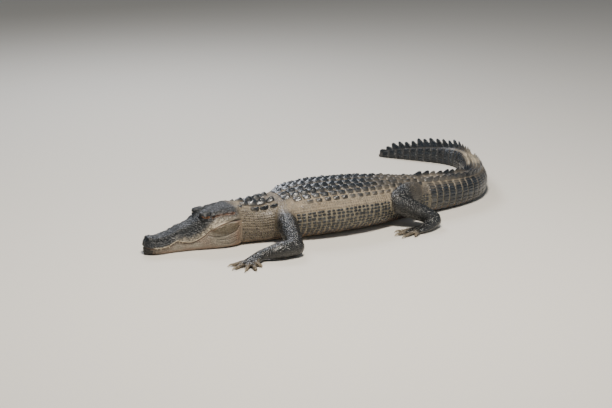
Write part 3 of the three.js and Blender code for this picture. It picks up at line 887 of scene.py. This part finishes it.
def skin_between(points, station, degrees):
    """Colour and wetness of the trunk's skin between its plates."""
    angle = abs(degrees)
    coarse = blotches(points, 0.09)
    fine = blotches(points, 0.016)
    back = seen_from_back(degrees, 26, 44) * ramp(-1, 1.2, 6, 8.5, station)
    hip = ramp(6.4, 7.2, 7.8, 9.0, station) * ramp(30, 50, 140, 150, angle)
    flank = ramp(70, 80, 122, 138, angle) * smooth_step(1.6, 2.6, station)
    neck = (1 - smooth_step(1.4, 2.4, station)) * ramp(20, 40, 120, 140, angle)
    tail = smooth_step(8.2, 10.5, station)
    bend = ramp(11.2, 12.2, 13.6, 14.6, station) * seen_from_back(degrees, 45, 75)
    dry_mud = mixed("pale_mud", "cream", 0.5 + 0.3 * coarse)
    colour = layered(
        "mud",
        ("pale_mud", 0.45 + 0.35 * coarse + 0.2 * fine),
        ("dry_black", back * (0.45 + 0.25 * fine)),
        ("dry_black", 0.22 * fine + 0.22 * coarse),
        ("dry_black", hip * (0.4 + 0.2 * fine)),
        ("net", flank * 0.9),
        ("rust", ramp(112, 130, 140, 150, angle) * 0.45 * (1 + 0.4 * coarse)),
        ("cream", smooth_step(136, 152, angle)),
        ("neck_tan", neck * (0.75 + 0.2 * fine)),
        ("tail_brown", tail * (0.35 + 0.35 * coarse) * (angle < 150)),
        ("dry_black", smooth_step(14.6, 16.0, station) * 0.9),
        (dry_mud, bend * 0.9),
    )
    wet = 0.12 + 0.35 * back + 0.2 * flank + 0.5 * neck + 0.2 * tail - 0.3 * bend
    return colour, np.clip(wet, 0.05, 1)


def jaw_skin(u, v, z, coarse, fine):
    """Colour of the lower jaw: pale skin, rusty at its edges, with the dark tip and the cheek's pad."""
    edge = 0.3 * (1 - smooth_step(0.004, 0.022, z)) + 0.45 * ramp(-0.03, -0.01, 0.006, 0.03, u)
    pad_share = ((u - 0.058) / 0.06) ** 2 + ((z - 0.086) / 0.024) ** 2
    pad = (1 - smooth_step(0.75, 1.15, pad_share)) * (abs(v) > 0.05)
    return layered(
        "jaw_pale",
        ("jaw_pink", 0.35 + 0.45 * coarse + 0.15 * fine),
        ("rust", edge),
        ("wet_black", 0.95 * smooth_step(0.322, 0.358, u + 0.012 * fine)),
        ("pad_olive", pad * (0.8 + 0.15 * fine)),
    )


def head_skin(points):
    """Colour and wetness of the head, with painted shade along its mouth line, in its folds and in its eye
    sockets.
    """
    u, v, z = head_coordinates(points)
    beside = abs(v) > FOLD_SIDE
    gap = above_mouth(u, z)
    coarse = blotches(points, 0.045)
    fine = blotches(points, 0.007)
    speckle = smooth_step(-0.2, 0.8, blotches(points, 0.0045))
    cheek = ramp(0.02, 0.08, 0.17, 0.28, u) * (1 - smooth_step(0.008, 0.032, gap))
    temple = ramp(-0.02, 0.01, 0.05, 0.075, u) * groove(z - 0.124, 0.007)
    slit_edge = groove(near_polyline(u, z, FOLDS["ear_slit"][-1]) - 0.002, 0.0018)
    table = ramp(-0.03, 0.0, 0.09, 0.11, u) * smooth_step(0.138, 0.146, z)
    lip = ramp(0.02, 0.06, 0.335, 0.352, u) * ramp(0.0005, 0.0025, 0.006, 0.01, gap)
    below = 1 - smooth_step(-0.0012, 0.0008, gap)
    # The closed mouth's groove is painted dark, tinted with rust: painted shade in the seam between the
    # jaws.
    line = groove(gap + 0.0004, 0.0022) * ramp(0.0, 0.014, 0.366, 0.374, u) * (abs(v) > 0.01)
    slit_skin = mixed("rust", "mouth_dark", 0.3 + 0.3 * fine)
    mouth_seam_shade = mixed("mouth_dark", "rust", 0.2 + 0.3 * coarse)
    colour = layered(
        "blue_black",
        ("wet_black", 0.7 + 0.2 * coarse + 0.2 * fine),
        ("lip_pale", cheek * (0.3 + 0.65 * speckle)),
        ("neck_tan", temple * 0.8 * beside),
        (slit_skin, slit_edge * 0.75 * beside),
        ("dry_black", table * (0.3 + 0.3 * fine)),
        ("lip_pale", lip * (0.85 + 0.15 * coarse)),
        (jaw_skin(u, v, z, coarse, fine), below),
        (mouth_seam_shade, line * 0.95),
    )
    # Each fold of the head's side is painted dark along its line: painted shade in the crease.
    for _, _, corners in FOLDS.values():
        crease_shade = groove(near_polyline(u, z, corners), 0.0018) * beside
        colour = layered(colour, ("mouth_dark", 0.6 * crease_shade))
    for side in (1, -1):
        far, way, _, opening = lid_place(points, side)
        lid_edge = groove(opening - 1.5, 0.55) * (far < 0.019) * (1 - smooth_step(0.05, 0.45, way[:, 2]))
        # The skin sunk behind the eyeball is painted dark: painted shade in the eye socket.
        socket = 1 - smooth_step(0.0105, 0.0125, far)
        colour = layered(colour, ("rust", 0.9 * lid_edge), ("mouth_dark", socket))
    wet = 0.54 - 0.15 * below - 0.2 * cheek - 0.2 * table + 0.15 * fine
    return colour, np.clip(wet, 0.05, 1)


TOE_TIPS = np.array([(*digit, TOE_TIP) for limb in LIMBS.values() for digit in limb["digits"]])


def limb_skin(points):
    """Colour and wetness of the limbs: wet black, with dry mud on the toes."""
    fine = blotches(points, 0.012)
    coarse = blotches(points, 0.05)
    far = np.sqrt(((points[:, None] - TOE_TIPS[None]) ** 2).sum(-1)).min(1)
    toes = 1 - smooth_step(0.008, 0.046, far + 0.012 * fine)
    low = 1 - smooth_step(0.003, 0.012, points[:, 2])
    colour = layered(
        "wet_black",
        ("blue_black", 0.15 + 0.3 * coarse),
        ("net", 0.03 + 0.03 * fine),
        ("mud", toes * (0.75 + 0.2 * fine)),
        ("mud", 0.45 * low),
    )
    return colour, np.clip(0.92 - 0.6 * toes - 0.3 * low + 0.08 * fine, 0, 1)


def skin_paint(points):
    """Colour and wetness of the whole skin.

    Each point's share of limb, its station, its angle and its share of head are returned with them.
    """
    station, degrees, outside = trunk_coordinates(points)
    colour, wet = skin_between(points, station, degrees)
    limb_colour, limb_wet = limb_skin(points)
    head_colour, head_wet = head_skin(points)
    u, v, _ = head_coordinates(points)
    beside_head = abs(v) < 0.13
    limb = smooth_step(0.003, 0.01, outside) * (1 - smooth_step(-0.05, -0.01, u) * beside_head)
    limb = limb * (station < 8)
    arm = smooth_step(0.008, 0.06, outside + 0.01 * blotches(points, 0.03))
    hip = ramp(0.29, 0.37, 1, 2, points[:, 0])
    thigh = smooth_step(0.003, 0.016, outside) * (1 - 0.6 * hip)
    dark = limb * np.where(points[:, 0] < 0, arm, np.maximum(thigh, smooth_step(0.05, 0.07, outside)))
    hip_colour = mixed("neck_tan", "dry_black", 0.45 + 0.25 * blotches(points, 0.02))
    head = smooth_step(-0.022, 0.012, u) * beside_head
    colour = layered(colour, (hip_colour, 0.8 * hip * limb), (limb_colour, dark), (head_colour, head))
    wet = wet * (1 - dark) + limb_wet * dark
    wet = wet * (1 - head) + head_wet * head
    return colour, wet, limb, station, degrees, head


# How much mud lies over each kind of plate, and over its rim.
DUST = {
    "back": (0.04, 0.75),
    "nuchal": (0.08, 0.5),
    "upper_flank": (0.8, 0.6),
    "flank": (0.08, 0.6),
    "belly": (0.95, 0.5),
    "tail": (-0.14, 0.6),
    "crest": (0.05, 0.3),
    "neck": (0.62, 0.6),
}


def plate_colour(points, station, degrees, rim, ridge, kind):
    """Colour and wetness of laid plates: dark crowns with a painted highlight on the keel, mud round the
    rim and on dusty parts.
    """
    tone = per_plate(rng.uniform(-1, 1, len(points)))
    fine = blotches(points, 0.01)
    coarse = blotches(points, 0.08)
    s = per_plate(station) + 0 * fine
    angle = per_plate(abs(degrees)) + 0 * fine
    # The keel lightens the crown towards blue_black: a painted highlight on the keel.
    dark = mixed("wet_black", "blue_black", 0.4 + 0.35 * tone + 0.2 * fine + 0.4 * ridge)
    dust, rim_dust = DUST[kind]
    bend = ramp(11.0, 12.2, 13.8, 14.8, s) * seen_from_back(angle, 35, 75)
    rear = ramp(4.2, 6.2, 10.5, 12.5, s) * seen_from_back(angle, 42, 60)
    dust = dust + 0.12 * tone + 0.75 * bend + rear * (0.24 + 0.2 * coarse)
    dust = dust + 0.2 * coarse * ramp(8, 9, 15, 16, s)
    if kind == "back":
        dust = dust + 0.18 * smooth_step(30, 50, angle)
    if kind == "tail":
        dust = dust + 0.35 * (1 - smooth_step(7.4, 9.0, s)) * (0.8 + 0.4 * fine)
    if kind == "neck":
        dust = dust + 0.15 * tone
    if kind == "crest":
        dust = dust * 0.65
    share = np.clip(dust + rim_dust * rim - 0.35 * ridge, 0, 1)
    wet = np.clip(0.85 - 0.75 * share + 0.1 * tone + 0.3 * (kind == "neck"), 0.05, 1)
    return layered(dark, (skin_between(points, s, angle)[0], share)), wet


def lay(sheet, tree, kind, station, degrees, half_long, half_wide, tall=1.0):
    """Plates of one kind laid on the trunk and gathered in a sheet."""
    points, rim, ridge, kept = on_trunk(tree, station, degrees, half_long, half_wide, kind, tall)
    sheet.add(points, *plate_colour(points, station[kept], degrees[kept], rim, ridge, kind))


def lay_trunk(tree):
    """Back plates, nuchals, flank, belly and tail scales, in sheets."""
    back, flank, tail = ScaleSheet(), ScaleSheet(), ScaleSheet()
    for *row, fill, half_wide in BACK_ROWS:
        s, d, half_long = rows_of(*row)
        lay(back, tree, "back", s, d, half_long * fill, half_wide, rng.uniform(0.8, 1.15, len(s)))
    for station, angle, half_long, half_wide in NUCHALS:
        s, d = crossed(np.array([station]), (angle,))
        lay(back, tree, "nuchal", s, d, half_long, half_wide, half_long / NUCHAL_HALF)
    s, d, half_long = rows_of(*NECK_ROWS)
    d = d + rng.normal(0, 0.7, len(d))
    half_long = half_long * rng.uniform(0.85, 1.0, len(s))
    lay(flank, tree, "neck", s, d, half_long, 3.3, rng.uniform(0.7, 1.3, len(s)))
    s, d, half_long = rows_of(*UPPER_FLANK_ROWS)
    lay(flank, tree, "upper_flank", s, d, half_long, 3.1)
    s, d, half_long = rows_of(*FLANK_ROWS)
    half_long = half_long * rng.uniform(0.78, 0.93, len(s))
    s = s + rng.normal(0, 0.012, len(s))
    d = d + rng.normal(0, 0.35, len(d))
    lay(flank, tree, "flank", s, d, half_long, 3.1, rng.uniform(0.8, 1.2, len(s)))
    s, d, _ = rows_of(*BELLY_ROWS)
    lay(flank, tree, "belly", s, d, 0.105, 3.8)
    for angles, half_wide in TAIL_WHORLS:
        s, d, half_long = rows_of(*TAIL, angles)
        lay(tail, tree, "tail", s, d, half_long * 0.96, half_wide, np.interp(s, (8, 18), (1.0, 0.6)))
    return back, flank, tail


def crest_points(row, high):
    """Upright, backward leaning blades along the tail, with their stations, angles, rim and height."""
    s, d, half_long = rows_of(*row)
    p, q, out = grid_of("crest")
    height, rim, _ = relief("crest", p, q, out)
    fade = np.minimum(1, 0.3 + (LAST_STATION - s) / 3.5) * rng.uniform(0.78, 1.16, len(s))
    fade = fade * (1 - 0.35 * ramp(11.5, 12.5, 13.8, 15.0, s))
    profile = smooth_step(-1.0, -0.7, p) * (0.34 + 0.66 * smooth_step(-0.8, 0.4, p))
    profile = profile * (1 - smooth_step(0.8, 1.0, p))
    tall = per_plate(high * fade) * profile * (1 - abs(q) ** 1.2) ** 1.3
    thick = per_plate(np.interp(s, (7.5, 13.5, 20), (11.0, 9.0, 30.0)))
    lean = per_plate(rng.uniform(0.3, 0.7, len(s)) * half_long) * tall / high
    wide = per_plate(half_long * rng.uniform(1.15, 1.45, len(s)))
    base_s = per_plate(s) + p * wide + lean
    base = trunk_point(base_s, per_plate(d) + q * thick)
    root = trunk_point(base_s, per_plate(d))
    middle = catmull(TRUNK, base_s)[0]
    core = np.concatenate([middle[..., :2], middle[..., 3:4] * TRUNK_MIDDLE], -1)
    out_way = unit(unit(root - core) + 0.8 * UP)
    rise = smooth_step(0, 0.6, tall / high)[..., None]
    points = base * (1 - 0.75 * rise) + root * 0.75 * rise + out_way * (tall + height)[..., None]
    return points, s, d, rim, np.clip(tall / high, 0, 1)


def lay_crest():
    """The crest of the tail, in a sheet."""
    sheet = ScaleSheet()
    for *row, high in CRESTS:
        points, *place = crest_points(row, high)
        # The blades' height share goes in as the keel, so plate_colour paints them lighter towards the top:
        # a painted highlight.
        sheet.add(points, *plate_colour(points, *place, "crest"))
    return sheet


def limb_along(points):
    """The direction of the nearest limb bone at each point."""
    spots, ways = [], []
    for limb in LIMBS.values():
        for bone in (limb["upper"], limb["lower"], limb["palm"]):
            row, slope = catmull(np.array(bone), np.linspace(0, 2, 9))
            spots.append(row[:, :3])
            ways.append(unit(slope[:, :3]))
        for digit in limb["digits"]:
            path = np.array(toe_path(limb, digit))
            spots.append(path[:, :3])
            ways.append(np.tile(unit(path[2, :3] - path[0, :3]), (3, 1)))
    spots, ways = np.concatenate(spots), np.concatenate(ways)
    nearest = np.argmin(((points[:, None] - spots[None]) ** 2).sum(-1), 1)
    return ways[nearest]


def head_places(points):
    """Which of the head's points carry small cheek scales, and which the skull's rough bumps."""
    u, v, z = head_coordinates(points)
    gap = above_mouth(u, z)
    clear = ((u > -0.012) & (z > 0.004) & (gap > 0.0095)) | (gap < -0.0045)
    for side in (1, -1):
        clear &= lid_place(points, side)[0] > 0.02
        clear &= np.linalg.norm(points - head_point(*mirrored(NOSTRIL, side)), axis=1) > 0.012
    for _, _, corners in FOLDS.values():
        clear &= (near_polyline(u, z, corners) > 0.0035) | (abs(v) < FOLD_SIDE)
    low = (gap < 0.022) & (z > 0.004)
    return clear & low & (u > -0.012), clear & ~low


def lay_small(points, normal, paint, wet, limb, station, degrees, head):
    """Small scales over the limbs, the neck, the skin beside the plates and the head, in sheets."""
    sheets = {name: ScaleSheet() for name in ("arm_scales", "leg_scales", "neck_scales", "head_scales")}
    angle = abs(degrees)
    front = points[:, 0] < 0
    foot = (limb > 0.97) & (points[:, 2] < 0.032) & (points[:, 2] > 0.002)
    leg = (limb > 0.25) & ~foot & (points[:, 2] > 0.004)
    trunk = (head < 0.3) & (limb < 0.3)
    between = trunk & (station < 2.9) & (angle < 60) & ~((station < 2.1) & (angle > 44))
    between |= trunk & (station > 2.8) & (station < 7.6) & (angle > 42) & (angle < 60)
    between |= trunk & (station > 6.9) & (station < 7.7) & (angle > 30) & (angle < 140)
    cheek, skull = head_places(points)
    for wanted, kind, name in (
        (leg & front, "limb", "arm_scales"),
        (foot & front, "foot", "arm_scales"),
        (leg & ~front, "limb", "leg_scales"),
        (foot & ~front, "foot", "leg_scales"),
        (between, "neck", "neck_scales"),
        (cheek & (head > 0.5), "cheek", "head_scales"),
        (skull & (head > 0.5), "skull", "head_scales"),
    ):
        spacing, tall, light = SMALL[kind]
        index = np.nonzero(wanted)[0]
        index = index[spread(points[index], spacing)]
        spots = points[index]
        along = limb_along(spots) if kind in ("limb", "foot") else np.tile(BODY_ALONG, (len(index), 1))
        grid, rim = flat_scales(spots, normal[index], along, spacing * SMALL_HALF, tall)
        tone = per_plate(rng.uniform(-1, 1, len(index)))
        base = per_plate(paint[index])
        colour = mixed(base * light, base, 0.3 + 0.3 * tone + 0.5 * rim)
        sheets[name].add(grid, colour, per_plate(wet[index]))
    return sheets


MM = 0.001
GRIME = 11 * MM  # patches of dried mud
PORES = 2.6 * MM  # coarser than on a real hide, so that they show in the render
NOISE_RANGE = {"From_Min": 0.3, "From_Max": 0.7}  # where most of a noise texture's values lie
HORN_IOR = 1.5  # keratin and dried skin
ENAMEL_IOR = 1.6
EYE_IOR = 1.38


def node(tree, kind, settings=None, **links):
    """A node with its settings, and with its sockets given values or linked to other sockets.

    A node given as a value is linked by its first output.
    """
    made = tree.nodes.new("ShaderNode" + kind)
    for key, value in (settings or {}).items():
        setattr(made, key, value)
    for key, value in links.items():
        numbered = key[0] == "i" and key[1:].isdigit()
        socket = made.inputs[int(key[1:]) if numbered else key.replace("_", " ")]
        if isinstance(value, bpy.types.Node):
            value = value.outputs[0]
        if isinstance(value, bpy.types.NodeSocket):
            tree.links.new(value, socket)
        else:
            socket.default_value = value
    return made


def blank_material(name):
    """A material and its node tree, still without nodes."""
    made = bpy.data.materials.new(name)
    made.use_nodes = True
    made.node_tree.nodes.clear()
    return made, made.node_tree


def hide_material(name, crack_size, crack_depth, water):
    """Crocodilian hide: keratin scales over skin. Water leaves the dark parts with a sharp shine,
    and dried mud leaves the pale parts dull. Fine cracks and pores break both."""
    made, tree = blank_material(name)
    paint = node(tree, "Attribute", {"attribute_name": "paint"})
    wet = node(tree, "Attribute", {"attribute_name": "wet"})
    place = node(tree, "TexCoord").outputs["Object"]
    grime = node(tree, "TexNoise", Vector=place, Scale=1 / GRIME, Detail=6.0, Roughness=0.65)
    pores = node(tree, "TexNoise", Vector=place, Scale=1 / PORES, Detail=4.0)
    cracks = node(tree, "TexVoronoi", {"feature": "DISTANCE_TO_EDGE"}, Vector=place,
                  Scale=1 / crack_size, Randomness=0.9)
    crack_edge = node(tree, "MapRange", Value=cracks, From_Min=0.0, From_Max=0.12)
    shade = node(tree, "MapRange", Value=grime, To_Min=0.72, To_Max=1.28, **NOISE_RANGE)
    speckle = node(tree, "MapRange", Value=pores, To_Min=0.85, To_Max=1.15, **NOISE_RANGE)
    both = node(tree, "Math", {"operation": "MULTIPLY"}, i0=shade, i1=speckle)
    colour = node(tree, "VectorMath", {"operation": "SCALE"}, Vector=paint, Scale=both)
    dry = node(tree, "MapRange", Value=wet.outputs["Fac"], To_Min=0.82, To_Max=0.18)
    uneven = node(tree, "MapRange", Value=grime, To_Min=-0.1, To_Max=0.14, **NOISE_RANGE)
    rough = node(tree, "Math", {"operation": "ADD", "use_clamp": True}, i0=dry, i1=uneven)
    crack_bump = node(tree, "Bump", Height=crack_edge, Distance=crack_depth, Strength=0.7)
    pore_bump = node(tree, "Bump", Height=pores, Distance=0.9 * MM, Strength=0.6, Normal=crack_bump)
    shader = node(tree, "BsdfPrincipled", Base_Color=colour, Roughness=rough, Normal=pore_bump,
                  IOR=HORN_IOR, Coat_Weight=water, Coat_Roughness=0.13)
    node(tree, "OutputMaterial", Surface=shader)
    return made


def painted_material(name, roughness, water, grain, depth, ior):
    """Horn, enamel or eye: a painted ground with a grain of a real size and a clear film of water."""
    made, tree = blank_material(name)
    paint = node(tree, "Attribute", {"attribute_name": "paint"})
    place = node(tree, "TexCoord").outputs["Object"]
    streaks = node(tree, "TexNoise", Vector=place, Scale=1 / grain, Detail=4.0)
    shade = node(tree, "MapRange", Value=streaks, To_Min=0.8, To_Max=1.2, **NOISE_RANGE)
    colour = node(tree, "VectorMath", {"operation": "SCALE"}, Vector=paint, Scale=shade)
    bump = node(tree, "Bump", Height=streaks, Distance=depth, Strength=0.4)
    shader = node(tree, "BsdfPrincipled", Base_Color=colour, Roughness=roughness, Normal=bump,
                  IOR=ior, Coat_Weight=water, Coat_Roughness=0.05)
    node(tree, "OutputMaterial", Surface=shader)
    return made


def ring_piece(name, rings, paint, material):
    """An object from rings of points that close round, with a flat face over each end."""
    shell = Shell()
    shell.add_rings(rings)
    return dressed(name, shell.mesh(name), paint.reshape(-1, 3), material)


IRIS_EDGE = (30, 52)  # the iris darkens between these angles from the pupil, in degrees
PUPIL = (0.11, 0.62)  # half width and half height of the slit, in eye radii
PUPIL_REACH = 60  # the slit is drawn up to this angle, on the front of the eyeball


def make_eye(side, material):
    """An eyeball with an amber iris and an upright slit for a pupil, facing out and a little up."""
    rows, sides = 40, 64
    polar = np.linspace(0.02, math.pi - 0.02, rows)[:, None] + np.zeros(sides)[None]
    turn = np.linspace(0, 2 * math.pi, sides, endpoint=False)[None] + np.zeros(rows)[:, None]
    out_way = unit(LEFTWARD * side + 0.25 * UP + 0.15 * FORWARD)
    up_way = unit(UP - out_way * out_way[2])
    ahead_way = np.cross(out_way, up_way)
    out = np.cos(polar)
    up = np.sin(polar) * np.sin(turn)
    ahead = np.sin(polar) * np.cos(turn)
    way = out_way * out[..., None] + up_way * up[..., None] + ahead_way * ahead[..., None]
    far = np.degrees(polar)
    dark = 0.35 + 0.25 * np.sin(turn * 23) + smooth_step(*IRIS_EDGE, far)
    slit = (abs(ahead) < PUPIL[0] * (1 - (up / PUPIL[1]) ** 2)) & (far < PUPIL_REACH)
    paint = layered("iris", ("eye_dark", dark), ("eye_dark", slit.astype(float)))
    name = "eye_left" if side > 0 else "eye_right"
    return ring_piece(name + "_ball", head_point(*mirrored(EYE, side)) + way * EYE_RADIUS, paint, material)


# Upper teeth that show below the lip: distance forward and size as a share of the largest.
TEETH = [(0.228, 0.55), (0.241, 0.8), (0.262, 0.5), (0.283, 1.0), (0.297, 0.6), (0.318, 0.8), (0.333, 0.55)]
TOOTH_LENGTH = 0.006
TOOTH_RADIUS = 0.0024
# A claw's distance out from the toe's tip as a share of its length, its height, and its half sizes.
CLAW_PROFILE = (
    (-0.05, 0.0078, 0.0044, 0.0052),
    (0.35, 0.0092, 0.0038, 0.0046),
    (0.7, 0.0072, 0.0026, 0.0032),
    (1.00, 0.0024, 0.0008, 0.001),
)


def make_teeth(material):
    """Small conical teeth along the edge of the upper jaw."""
    shell = Shell()
    place = np.linspace(0, 1, 8)[:, None]
    turn = np.linspace(0, 2 * math.pi, 10, endpoint=False)[None]
    for side in (1, -1):
        for u, size in TEETH:
            row = head_row(u)
            radius = TOOTH_RADIUS * size * (1 - place) ** 0.7 + 0.0002
            reach = TOOTH_LENGTH * size + 0.005
            v = (row[1] - 0.003 + radius * np.cos(turn) - 0.0015 * place**2) * side
            z = row[4] + 0.0045 - reach * place + 0 * turn
            shell.add_rings(head_point(u + radius * np.sin(turn), v, np.maximum(z, 0.0005)))
    mesh = shell.mesh("teeth")
    return dressed("teeth", mesh, np.tile(PAINTS["ivory"], (len(mesh.vertices), 1)), material)


def make_claw(limb, digit, name, material):
    """A curved horn claw that starts inside the toe's tip."""
    path = toe_path(limb, digit)
    tip, before = np.array(path[2][:3]), np.array(path[1][:3])
    out = unit((tip - before) * np.array((1, 1, 0)))
    table = [
        (*(tip + out * CLAW_LENGTH * share)[:2], z, wide, high)
        for share, z, wide, high in CLAW_PROFILE
    ]
    rings = tube_rings(table, 5, 14)
    share = np.clip(((rings - tip) @ out) / CLAW_LENGTH, 0, 1)
    return ring_piece(name, rings, mixed("horn", "horn_tip", share), material)


FLOOR_REACH = 30.0
FLOOR_DROP = 0.0005  # just under the animal, so that the two never share a surface


def pale_floor():
    """A wide pale floor of painted board, matt and even."""
    made, tree = blank_material("painted_board")
    shader = node(tree, "BsdfPrincipled", Base_Color=(*linear(0xD6D3CC), 1), Roughness=0.85)
    node(tree, "OutputMaterial", Surface=shader)
    mesh = bpy.data.meshes.new("floor")
    corners = [(x * FLOOR_REACH, y * FLOOR_REACH, 0) for x, y in ((-1, -1), (1, -1), (1, 1), (-1, 1))]
    mesh.from_pydata(corners, [], [(0, 1, 2, 3)])
    mesh.materials.append(made)
    floor = link("floor", mesh)
    floor.location.z = -FLOOR_DROP


CAMERA_AZIMUTH = math.radians(-35)
CAMERA_HEIGHT = math.radians(16.5)
CAMERA_DISTANCE = 6.0
CAMERA_LENS = 85.76
CAMERA_CENTRE = Vector((0, -0.06, 0.1))  # the camera stands at its distance from here
CAMERA_TARGET = Vector((-0.0945, 0.0063, 0.1082))


def aimed(thing, place, target):
    """The camera or lamp put in its place and turned to its target."""
    thing.location = place
    thing.rotation_euler = (target - thing.location).to_track_quat("-Z", "Y").to_euler()


def make_camera():
    """The camera at the photograph's viewing angle."""
    data = bpy.data.cameras.new("camera")
    data.lens = CAMERA_LENS
    data.sensor_width = 36.0
    camera = link("camera", data)
    back = Vector((
        math.sin(CAMERA_AZIMUTH) * math.cos(CAMERA_HEIGHT),
        -math.cos(CAMERA_AZIMUTH) * math.cos(CAMERA_HEIGHT),
        math.sin(CAMERA_HEIGHT),
    ))
    aimed(camera, CAMERA_CENTRE + back * CAMERA_DISTANCE, CAMERA_TARGET)
    bpy.context.scene.camera = camera


# Lamps: place, size in metres, power in watts, and colour.
LIGHTS = {
    "key": ((-0.8, -1.4, 3.8), 0.7, 280, 0xFFF6E8),
    "fill": ((3.2, -3.4, 2.0), 2.6, 18, 0xEAF1FF),
    "back": ((0.6, 3.2, 3.0), 1.4, 100, 0xF4F7FF),
}
LIGHT_TARGET = Vector((0.1, 0.1, 0.05))
STUDIO_COLOUR = 0xDDE3EA
STUDIO_STRENGTH = 0.22


def make_lights():
    """Three soft lamps and an even pale studio."""
    for name, (place, size, power, colour) in LIGHTS.items():
        data = bpy.data.lights.new(name, "AREA")
        data.size = size
        data.energy = power
        data.color = linear(colour)
        aimed(link(name, data), place, LIGHT_TARGET)
    world = bpy.data.worlds.new("studio")
    bpy.context.scene.world = world
    world.use_nodes = True
    background = world.node_tree.nodes["Background"].inputs
    background["Color"].default_value = (*linear(STUDIO_COLOUR), 1)
    background["Strength"].default_value = STUDIO_STRENGTH


# The skin stands for every node but the eyes and the claws.
FLESH = [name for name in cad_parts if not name.startswith(("eye", "claw"))]

# Skin between the plates: soft, nearly dry, with a dull shine.
skin_hide = hide_material("skin_hide", 3.0 * MM, 0.12 * MM, 0.15)
# Plates of horn, cracked more coarsely, whose keels catch the light.
plate_hide = hide_material("plate_hide", 5.0 * MM, 0.15 * MM, 0.2)
# Limbs just out of the water: small sharp highlights on each scale.
limb_hide = hide_material("limb_hide", 3.0 * MM, 0.1 * MM, 0.4)
# Skin drawn tight over the skull: rough and almost without a shine.
head_hide = hide_material("head_hide", 4.0 * MM, 0.1 * MM, 0.1)
# Claws of horn: satin, with fine streaks.
horn = painted_material("horn", 0.38, 0.1, 3.0 * MM, 0.2 * MM, HORN_IOR)
# Teeth of enamel: smooth and wet.
enamel = painted_material("enamel", 0.25, 0.3, 4.0 * MM, 0.1 * MM, ENAMEL_IOR)
# Eyes under a film of tears: a hard bright point of light.
wet_eye = painted_material("wet_eye", 0.12, 1.0, 1.5 * MM, 0.01 * MM, EYE_IOR)

skin_mesh = make_skin()
skin_points = coordinates(skin_mesh)
skin_normals = normals(skin_mesh)
paint, wet, *places = skin_paint(skin_points)
skin = dressed("skin", skin_mesh, paint, skin_hide, wet)
tree = BVHTree.FromObject(skin, bpy.context.evaluated_depsgraph_get())
back_sheet, flank_sheet, tail_sheet = lay_trunk(tree)
small_sheets = lay_small(skin_points, skin_normals, paint, wet, *places)
pieces = {
    skin: "hide_flank",
    back_sheet.piece("back_plates", plate_hide): "hide_back",
    flank_sheet.piece("flank_scales", plate_hide): "hide_flank",
    tail_sheet.piece("tail_scales", plate_hide): "hide_back",
    lay_crest().piece("tail_crest", plate_hide): "hide_back",
    make_teeth(enamel): "claw",
}
for name, hide, slot in (
    ("arm_scales", limb_hide, "hide_leg"), ("leg_scales", limb_hide, "hide_leg"),
    ("neck_scales", plate_hide, "hide_flank"), ("head_scales", head_hide, "hide_jaw"),
):
    pieces[small_sheets[name].piece(name, hide)] = slot
for side in (1, -1):
    eye = make_eye(side, wet_eye)
    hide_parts("eye_left" if side > 0 else "eye_right")
    pieces[eye] = "eye"
for name, limb_sizes in LIMBS.items():
    for number, digit in enumerate(limb_sizes["digits"][:CLAWED_DIGITS], 1):
        claw = make_claw(limb_sizes, digit, f"horn_{name}_{number}", horn)
        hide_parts(f"claw_{name}_{number}")
        pieces[claw] = "claw"
for piece, slot in pieces.items():
    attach(piece, "root")
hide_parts(*FLESH)

pale_floor()
make_camera()
make_lights()
